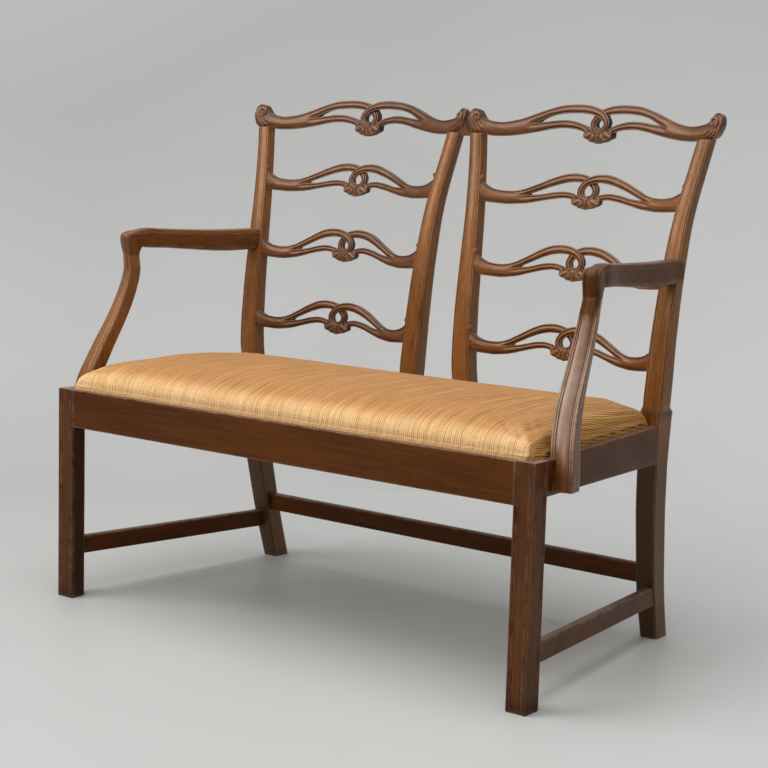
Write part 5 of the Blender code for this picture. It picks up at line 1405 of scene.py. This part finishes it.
class SETTEE_OT_front_legs(bpy.types.Operator):
    """Mould the two outer faces of the front legs and notch them for the seat"""

    bl_idname = "settee.front_legs"
    bl_label = "Front legs"

    def execute(self, context):
        side_length = FRONT_LEG_SIDE
        inner = FRONT_HALF_SPAN - side_length
        places, depths = leg_face()
        front = np.stack((inner + places * side_length, depths * FRONT_LEG_SINK), axis=1)
        outer = np.stack((FRONT_HALF_SPAN - depths * FRONT_LEG_SINK, side_length - places * side_length),
                         axis=1)[::-1]
        wide, middle, narrow = FRONT_LEG_CHAMFER
        inside = ((FRONT_HALF_SPAN - FRONT_LEG_PLAIN, side_length), (inner + wide, side_length),
                  (inner + middle, side_length), (inner + narrow, side_length - narrow),
                  (inner, side_length - middle), (inner, side_length - wide), (inner, FRONT_LEG_PLAIN))
        plan = np.concatenate((front, outer, inside))
        centre = np.array((FRONT_HALF_SPAN - side_length / 2, side_length / 2))
        rings = []
        shank = along_grid(0.03, RAIL_TOP - FRONT_LEG_PLAIN, FRONT_LEG_STEP)
        for height, shrink in (*FRONT_LEG_SOLE, *((height, 1.0) for height in shank),
                               *((RAIL_TOP - below, shrink) for below, shrink in FRONT_LEG_HEAD)):
            rings.append(level_ring(centre + (plan - centre) * shrink, height))
        for side, sign in SIDES:
            piece = close_up(f"moulded_front_leg_{side}", wrap(np.array(rings) * (sign, 1, 1)))
            self.notch(piece, sign)
            # Painted shade on each front leg's inner face, deeper on the left leg; the lowest few centimetres
            # are darker towards the floor.
            note_shade(piece, lambda places, normals, facing=-sign: np.maximum(
                eased((normals[:, 0] * facing - 0.6) / 0.3) * (0.62 if facing > 0 else 0.30),
                eased((0.034 - places[:, 2]) / 0.03) * 0.62))
            finish(piece, leg_wood(), "frame", (f"front_leg_{side}",))
        return {"FINISHED"}

    def notch(self, leg, sign):
        """Cut the corner that the drop-in seat stands in."""
        near = RAIL_SET_BACK + FRONT_LIP
        far = FRONT_LEG_SIDE + NOTCH_OVERRUN
        inner = FRONT_HALF_SPAN - FRONT_LEG_SIDE - NOTCH_OVERRUN
        plan = np.array(((inner, near), (side_rail_outer(near) - SIDE_LIP, near),
                         (side_rail_outer(far) - SIDE_LIP, far), (inner, far))) * (sign, 1)
        rings = [level_ring(plan, z) for z in (RAIL_TOP - SEAT_REBATE, RAIL_TOP + 2 * NOTCH_OVERRUN)]
        cutter = close_up("notch", wrap(rings))
        modify(leg, "BOOLEAN", operation="DIFFERENCE", solver="EXACT", object=cutter)
        bpy.data.objects.remove(cutter)


def stations_between(low, high, step, near=0.003):
    """Even stations along a bar, and one close to each end."""
    return np.concatenate(((low,), along_grid(low + near, high - near, step), (high,)))


def rail_section(low, thickness, lip=None):
    """A seat rail's section, inwards and up, with a rebate behind its lip where the seat stands in it."""
    shelf = RAIL_TOP - SEAT_REBATE
    inner = ((lip, RAIL_TOP), (lip, shelf), (thickness, shelf)) if lip else ((thickness, RAIL_TOP),)
    return section(((0.0, low), (0.0, RAIL_TOP), *inner, (thickness, low)), RAIL_ROUND)


def rings_across(half, step, shape, front, centre=0.0):
    """Sections of a bar that runs from side to side."""
    return [np.column_stack((np.full(len(shape), x), front + shape[:, 0], centre + shape[:, 1]))
            for x in stations_between(-half, half, step)]


def planed(node, rings, axis):
    """A rail or stretcher closed round its sections, in place of its solid."""
    piece = close_up("planed_" + node.replace("seat_", ""), wrap(np.array(rings)))
    finish(piece, rail_wood(axis), "frame", (node,))


class SETTEE_OT_rails(bpy.types.Operator):
    """Plane the seat rails and the stretchers"""

    bl_idname = "settee.rails"
    bl_label = "Seat rails and stretchers"

    def execute(self, context):
        half = FRONT_HALF_SPAN - FRONT_LEG_SIDE - JOINT_GAP
        shape = rail_section(RAIL_BOTTOM, RAIL_THICKNESS, FRONT_LIP)
        planed("front_seat_rail", rings_across(half, RAIL_STEP, shape, RAIL_SET_BACK), "X")
        for side, sign in SIDES:
            planed(f"side_seat_rail_{side}", self.side_rail(sign), "Y")
        half = BACK_HALF_SPAN - BACK_LEG_SIZE[0] - JOINT_GAP
        shape = rail_section(RAIL_BOTTOM, BACK_RAIL_THICKNESS)
        planed("back_seat_rail", rings_across(half, RAIL_STEP, shape, BACK_LEG_FRONT), "X")
        self.stretchers()
        return {"FINISHED"}

    def side_rail(self, sign):
        """A splayed side rail whose lower edge rises a little to the front."""
        start = FRONT_LEG_SIDE + JOINT_GAP
        end = BACK_LEG_FRONT - SIDE_RAIL_BACK_GAP
        rings = []
        for y in stations_between(start, end, RAIL_STEP):
            low = mix(*SIDE_RAIL_LOWS, (y - start) / (end - start))
            shape = rail_section(low, RAIL_THICKNESS, SIDE_LIP)
            rings.append(np.column_stack((sign * (side_rail_outer(y) - shape[:, 0]), np.full(len(shape), y),
                                          shape[:, 1])))
        return rings

    def stretchers(self):
        """Thin bars with rounded tops between the legs."""
        tall, front_height, rear_height = SIDE_STRETCHER
        half = tall / 2
        outline = ((0.0, -half), (0.0, half), (STRETCHER_THICKNESS, half), (STRETCHER_THICKNESS, -half))
        upper, lower = (section(outline, radius, 5) for radius in STRETCHER_ROUNDS)
        shape = np.where(upper[:, 1:] < 0, lower, upper)
        spread, rake = read_row(BACK_LEG_ROWS, rear_height / RAIL_BOTTOM)[:2]
        end_x = mix(BACK_HALF_SPAN, BACK_FOOT_HALF_SPAN, spread) - STRETCHER_INSET
        end_y = BACK_LEG_FRONT + BACK_FOOT_RAKE * rake + SIDE_STRETCHER_TENON
        for side, sign in SIDES:
            rings = []
            for share in stations_between(0.0, 1.0, 0.06, 0.008):
                outer = mix(FRONT_HALF_SPAN - STRETCHER_INSET, end_x, share)
                depth = mix(FRONT_LEG_SIDE + JOINT_GAP, end_y, share)
                height = mix(front_height, rear_height, share)
                rings.append(np.column_stack((sign * (outer - shape[:, 0]), np.full(len(shape), depth),
                                              height + shape[:, 1])))
            planed(f"side_stretcher_{side}", rings, "Y")
        tall, centre = REAR_STRETCHER
        spread, rake, width = read_row(BACK_LEG_ROWS, centre / RAIL_BOTTOM)[:3]
        reach = (mix(BACK_HALF_SPAN, BACK_FOOT_HALF_SPAN, spread)
                 - mix(BACK_FOOT_SIZE[0], BACK_LEG_SIZE[0], width) + REAR_STRETCHER_TENON)
        front = BACK_LEG_FRONT + BACK_FOOT_RAKE * rake + (BACK_FOOT_SIZE[1] - STRETCHER_THICKNESS) / 2
        shape = shape * (1, tall / SIDE_STRETCHER[0])
        planed("rear_stretcher", rings_across(reach, 0.04, shape, front, centre), "X")


def seat_edge(depth, inset):
    """Half width of the drop-in seat at a depth."""
    return side_rail_outer(depth) - SIDE_LIP - SEAT_CLEARANCE - inset * END_FULLNESS


def seat_ring(inset, height, corner_steps=10, gap=0.012):
    """A level ring round the seat: splayed sides and rounded corners, drawn in by the inset."""
    front = RAIL_SET_BACK + FRONT_LIP + SEAT_CLEARANCE + inset
    back = SEAT_BACK_EDGE - inset
    room = (back - front) * 0.48
    radius = min(SEAT_RADII[0] + inset * CORNER_SHARE, room)
    back_radius = min(SEAT_RADII[1] + inset * CORNER_SHARE * 0.5, room)
    ring = []

    def corner(x, y, start, size):
        for k in range(corner_steps + 1):
            angle = start + math.pi / 2 * k / corner_steps
            ring.append((x + size * math.cos(angle), y + size * math.sin(angle)))

    def side(start, end, steps):
        for k in range(1, steps):
            ring.append((mix(start[0], end[0], k / steps), mix(start[1], end[1], k / steps)))

    long_steps = int(2 * BACK_HALF_SPAN / gap)
    short_steps = int(SEAT_BACK_EDGE / gap)
    front_x = seat_edge(front + radius, inset) - radius
    back_x = seat_edge(back - back_radius, inset) - back_radius
    front_y = front + radius
    back_y = back - back_radius
    corner(front_x, front_y, -math.pi / 2, radius)
    side((front_x + radius, front_y), (back_x + back_radius, back_y), short_steps)
    corner(back_x, back_y, 0.0, back_radius)
    side((back_x, back), (-back_x, back), long_steps)
    corner(-back_x, back_y, math.pi / 2, back_radius)
    side((-back_x - back_radius, back_y), (-front_x - radius, front_y), short_steps)
    corner(-front_x, front_y, math.pi, radius)
    side((-front_x, front), (front_x, front), long_steps)
    flat = np.array(ring)
    share = np.clip(flat[:, 1] / SEAT_BACK_EDGE, 0, 1)
    rise = max(height - RAIL_TOP, 0.0)
    return np.column_stack((flat, height - rise * CROWN_BACK_FALL * share ** 2))


def cloth_material():
    """Ribbed chenille: irregular ribs front to back, crossed by fine threads on the front edge."""
    look = bpy.context.scene.settee_seat
    material, draw = new_material("ochre_chenille")
    cut = draw.node("ShaderNodeUVMap", uv_map="cloth").outputs[0]
    place = draw.object_place()
    sway = draw.noise(draw.stretch(cut, (9.0, 3.0, 1.0)), 1.0, 2.0)
    across = draw.plus(draw.along(cut, 0), draw.times(sway, 0.0035))
    down = draw.along(cut, 1)
    bent = draw.node("ShaderNodeCombineXYZ", {"X": across, "Y": down}).outputs[0]
    ribs = draw.noise(draw.stretch(bent, (0.95 / look.rib, 5.0, 1.0)), 1.0, 2.0, 0.55)
    broad = draw.noise(draw.stretch(bent, (90.0, 3.0, 1.0)), 1.0, 2.0, 0.55)
    wander = draw.noise(draw.stretch(bent, (45.0, 3.0, 1.0)), 1.0, 2.0, 0.5)
    tufts = draw.noise(draw.stretch(bent, (420.0, 130.0, 1.0)), 1.0, 2.0, 0.6)
    wave = draw.ripple(across, look.rib, draw.times(wander, 2.0), -1.0, 1.0)
    threads = draw.ripple(down, look.rib * 1.1, draw.times(ribs, 2.5), 0.50, 0.98)
    height = draw.plus(draw.times(draw.between(ribs, 0.36, 0.62), 0.38),
                       draw.times(draw.between(broad, 0.38, 0.62), 0.10))
    height = draw.plus(height, draw.times(wave, 0.52))
    lip = draw.times(draw.between(draw.facing(1), -0.10, -0.52),
                     draw.between(draw.along(place, 2), *(RAIL_TOP + up for up in LIP_FADE)))
    beside = draw.between(draw.math("ABSOLUTE", draw.facing(0)), 0.30, 0.75)
    mottle = draw.between(draw.noise(place, 26.0, 4.0, 0.6), 0.3, 0.7, -0.08, 0.08)
    share = draw.plus(draw.between(height, 0.22, 0.70), mottle, True)
    top = draw.blend(share, look.cloth_dark, look.cloth_top)
    edge = draw.blend(draw.between(share, 0.0, 0.7), look.cloth_top, look.cloth_lip)
    side = draw.blend(draw.between(height, 0.34, 0.66), (0.250, 0.105, 0.018), (0.860, 0.460, 0.125))
    colour = draw.blend(draw.times(beside, 0.80), draw.blend(lip, top, edge), side)
    stitched = draw.times(threads, draw.plus(draw.times(lip, 0.52), 0.05))
    stitched = draw.times(stitched, draw.between(draw.noise(place, 120.0, 3.0, 0.6), 0.40, 0.58))
    relief = draw.plus(height, draw.times(tufts, 0.35))
    draw.surface(draw.node("ShaderNodeBsdfPrincipled", {
        "Base Color": draw.blend(stitched, colour, look.cloth_dark), "Roughness": 0.92,
        "Normal": draw.bump(relief, 0.9, 0.0013), "Specular IOR Level": 0.2, "Sheen Weight": 0.10,
        "Sheen Roughness": 0.45, "Sheen Tint": (1.0, 0.86, 0.68, 1)}))
    return material


def lay_cloth(piece):
    """Write how far each point lies across and down the flat cloth, over the crown and down the sides."""
    mesh = piece.data
    places, normals = points_of(mesh)
    drop = np.clip(RAIL_TOP + CROWN_EDGE - places[:, 2], 0.0, None)
    half = seat_edge(places[:, 1] - FRONT_FACE, 0.0)
    at_side = eased((np.abs(places[:, 0]) - half + 0.016) / 0.012) * eased(np.abs(normals[:, 0]) * 2 - 0.3)
    at_front = eased(-normals[:, 1] * 1.6 - 0.3)
    at_back = eased(normals[:, 1] * 1.6 - 0.3)
    across = places[:, 0] + np.sign(places[:, 0]) * drop * at_side
    down = places[:, 1] - drop * at_front + drop * at_back
    layer = mesh.uv_layers.new(name="cloth")
    index = np.empty(len(mesh.loops), np.int32)
    mesh.loops.foreach_get("vertex_index", index)
    layer.data.foreach_set("uv", np.stack((across, down), axis=1)[index].astype(np.float32).ravel())


class SETTEE_OT_seat(bpy.types.Operator):
    """Upholster the drop-in seat: ribbed cloth swelled over its filling"""

    bl_idname = "settee.seat"
    bl_label = "Drop-in seat"

    def execute(self, context):
        look = context.scene.settee_seat
        half_depth = (SEAT_BACK_EDGE - FRONT_LIP) / 2
        levels = [(SKIRT[0][0], FILLING_LOW)]
        levels += [(half_depth * inset - SEAT_BULGE * bulge, RAIL_TOP + CROWN_EDGE * up)
                   for inset, up, bulge in COVER_ROWS[1:]]
        levels += [(half_depth * inset, RAIL_TOP + mix(CROWN_EDGE, CROWN_HEIGHT, up))
                   for inset, up in CROWN_ROWS]
        levels = np.array(levels)
        distance = travel(levels)
        fine = curve_through(distance, levels, along_grid(0.0, distance[-1], SEAT_STEP))
        rings = [seat_ring(inset, FILLING_LOW) for inset in SEAT_UNDERSIDE_INSETS]
        rings += [seat_ring(inset, height) for inset, height in fine]
        piece = close_up("ribbed_seat", wrap(np.array(rings)))
        modify(piece, "REMESH", mode="VOXEL", voxel_size=look.voxel)
        self.swell(piece, look)
        modify(piece, "SUBSURF", levels=1, render_levels=1, use_limit_surface=False)
        self.clear_below(piece)
        piece = join_as("ribbed_seat", piece, self.skirt())
        lay_cloth(piece)
        finish(piece, cloth_material(), "drop_in_seat", ("seat_cover", "seat_stuffing"),
               80.0)
        return {"FINISHED"}

    def clear_below(self, piece):
        """Keep the filling's underside flat on the base cloth."""
        places = points_of(piece.data)[0]
        places[:, 2] = np.maximum(places[:, 2], FILLING_LOW)
        place_points(piece, places)

    def skirt(self):
        """The cloth's lower edge, drawn down round the seat frame and tacked there."""
        rings = [seat_ring(inset, height) for inset, height in SKIRT]
        return close_up("skirt", wrap(np.array(rings + rings[:1])))

    def swell(self, piece, look):
        """Let the filling press the cloth outwards, held where it is tacked to the seat frame."""
        start = points_of(piece.data)[0]
        held = piece.vertex_groups.new(name="tacked")
        low = [point.index for point in piece.data.vertices if point.co.z < RAIL_TOP + TACKED_HEIGHT]
        held.add(low, 1.0, "REPLACE")
        pick(piece)
        cloth = piece.modifiers.new("Cloth", "CLOTH")
        cloth.settings.vertex_group_mass = "tacked"
        cloth.settings.use_pressure = True
        cloth.settings.uniform_pressure_force = SWELL_PRESSURE
        cloth.settings.effector_weights.gravity = 0.0
        cloth.point_cache.frame_start = 1
        cloth.point_cache.frame_end = SWELL_FRAMES
        for step in range(SWELL_FRAMES):
            bpy.context.scene.frame_set(step + 1)
        bpy.ops.object.modifier_apply(modifier=cloth.name)
        shift = points_of(piece.data)[0] - start
        far = np.linalg.norm(shift, axis=1)
        shift *= (np.minimum(far, look.swell) / np.maximum(far, 1e-9))[:, None]
        place_points(piece, start + shift)
        bpy.context.scene.frame_set(1)


class SETTEE_OT_hidden(bpy.types.Operator):
    """Finish what is seen only from below"""

    bl_idname = "settee.hidden"
    bl_label = "Blocks, ledge and seat frame"

    def execute(self, context):
        for name in ("seat_ledge", "seat_frame_front", "seat_frame_back", "corner_block_front_left",
                     "corner_block_front_right", "corner_block_back_left", "corner_block_back_right"):
            self.dress(name, plain_wood("X"))
        for name in ("seat_brace", "seat_frame_left", "seat_frame_right", "seat_frame_bar"):
            self.dress(name, plain_wood("Y"))
        self.dress("crest_bridge", ground_wood())
        self.webbing()
        self.base_cloth()
        return {"FINISHED"}

    def webbing(self):
        """Strips of jute stretched both ways over the seat frame, woven over and under."""
        middle = WEBBING_LOW + WEBBING_THICKNESS
        end = WEBBING_REACH - WEBBING_WIDTH
        side = WEBBING_WIDTH * 1.2
        across = np.linspace(-end, end, WEBBING_CROSS_COUNT)
        along = np.linspace(WEBBING_FRONT + side, WEBBING_BACK - side, WEBBING_LONG_COUNT)
        half = WEBBING_WIDTH / 2
        strips = []
        for k, centre in enumerate(across):
            places = along_grid(WEBBING_FRONT, WEBBING_BACK, WEBBING_STEP)
            level = middle + WEBBING_SHIFT * self.weave(places, along, half, -((-1) ** k))
            strips.append(self.strap(np.column_stack((np.full(len(places), centre), places, level)), 0))
        for k, centre in enumerate(along):
            places = along_grid(-WEBBING_REACH, WEBBING_REACH, WEBBING_STEP)
            level = middle + WEBBING_SHIFT * self.weave(places, across, half, (-1) ** k)
            strips.append(self.strap(np.column_stack((places, np.full(len(places), centre), level)), 1))
        piece = join_as("woven_webbing", *strips)
        finish(piece, woven("jute_webbing", 0.0021, (0.20, 0.125, 0.055), (0.46, 0.33, 0.18)),
               "drop_in_seat", ("webbing",))

    def weave(self, places, crossings, half, start):
        """Up and down along a strip: over one crossing, under the next, level at the ends."""
        level = np.zeros(len(places))
        for k, centre in enumerate(crossings):
            near = 1 - eased((np.abs(places - centre) - half) / (half * 0.5))
            level += start * (-1) ** k * near
        return level

    def strap(self, line, axis):
        """A flat strip along a line, its width on the given axis."""
        half = WEBBING_WIDTH / 2
        thick = WEBBING_THICKNESS / 2
        shape = np.array(((-half, -thick), (0.0, -thick), (half, -thick),
                          (half, thick), (0.0, thick), (-half, thick)))
        rings = np.repeat(line[:, None, :], len(shape), axis=1)
        rings[:, :, axis] += shape[:, 0]
        rings[:, :, 2] += shape[:, 1]
        return close_up("strap", wrap(rings))

    def base_cloth(self):
        """Hessian stretched over the webbing and tacked to the seat frame."""
        inset = BASE_CLOTH_INSET
        front = RAIL_SET_BACK + FRONT_LIP + SEAT_CLEARANCE + inset
        rows = []
        for y in along_grid(front, SEAT_BACK_EDGE - inset, 0.012):
            half = float(seat_edge(y, inset))
            x = np.linspace(-half, half, BASE_CLOTH_COLUMNS)
            flat = np.column_stack((x, np.full(len(x), y)))
            rows.append(level_ring(flat, BASE_CLOTH_LOW + BASE_CLOTH_LIFT))
        piece = join_as("stretched_base_cloth", wrap(np.array(rows), closed=False))
        bpy.ops.object.mode_set(mode="EDIT")
        bpy.ops.mesh.select_all(action="SELECT")
        bpy.ops.mesh.normals_make_consistent(inside=False)
        bpy.ops.object.mode_set(mode="OBJECT")
        up = points_of(piece.data)[1][:, 2].mean() > 0
        modify(piece, "SOLIDIFY", thickness=BASE_CLOTH_THICKNESS, offset=1.0 if up else -1.0)
        finish(piece, woven("hessian", 0.0013, (0.26, 0.175, 0.085), (0.52, 0.40, 0.24)),
               "drop_in_seat", ("base_cloth",))

    def dress(self, name, material):
        """A carried-over solid in its own finish."""
        node = frame["nodes"][name]
        node.data.materials.clear()
        node.data.materials.append(material)


class SETTEE_PT_panel(bpy.types.Panel):
    """The settee's pieces and settings"""

    bl_label = "Settee"
    bl_idname = "SETTEE_PT_panel"
    bl_space_type = "VIEW_3D"
    bl_region_type = "UI"
    bl_category = "Settee"

    def draw(self, context):
        for settings in (context.scene.settee_wood, context.scene.settee_seat, context.scene.settee_stage):
            box = self.layout.box()
            for name in settings.bl_rna.properties.keys():
                if name not in ("rna_type", "name"):
                    box.prop(settings, name)
        for operator in OPERATORS:
            self.layout.operator(operator.bl_idname)


OPERATORS = (SETTEE_OT_stage, SETTEE_OT_hidden, SETTEE_OT_stiles, SETTEE_OT_ladders, SETTEE_OT_arms,
             SETTEE_OT_front_legs, SETTEE_OT_rails, SETTEE_OT_seat)
CLASSES = (WoodSettings, SeatSettings, StageSettings, *OPERATORS, SETTEE_PT_panel)


def register():
    """Register the settings, the operators and the panel."""
    for item in CLASSES:
        bpy.utils.register_class(item)
    bpy.types.Scene.settee_wood = bpy.props.PointerProperty(type=WoodSettings)
    bpy.types.Scene.settee_seat = bpy.props.PointerProperty(type=SeatSettings)
    bpy.types.Scene.settee_stage = bpy.props.PointerProperty(type=StageSettings)


def unregister():
    """Take away what register added."""
    del bpy.types.Scene.settee_stage
    del bpy.types.Scene.settee_seat
    del bpy.types.Scene.settee_wood
    for item in reversed(CLASSES):
        bpy.utils.unregister_class(item)


def main():
    """Build the dressed settee on its stage."""
    register()
    grain_group()
    wear_group()
    for operator in OPERATORS:
        area, name = operator.bl_idname.split(".")
        getattr(getattr(bpy.ops, area), name)()


if __name__ == "__main__":
    main()
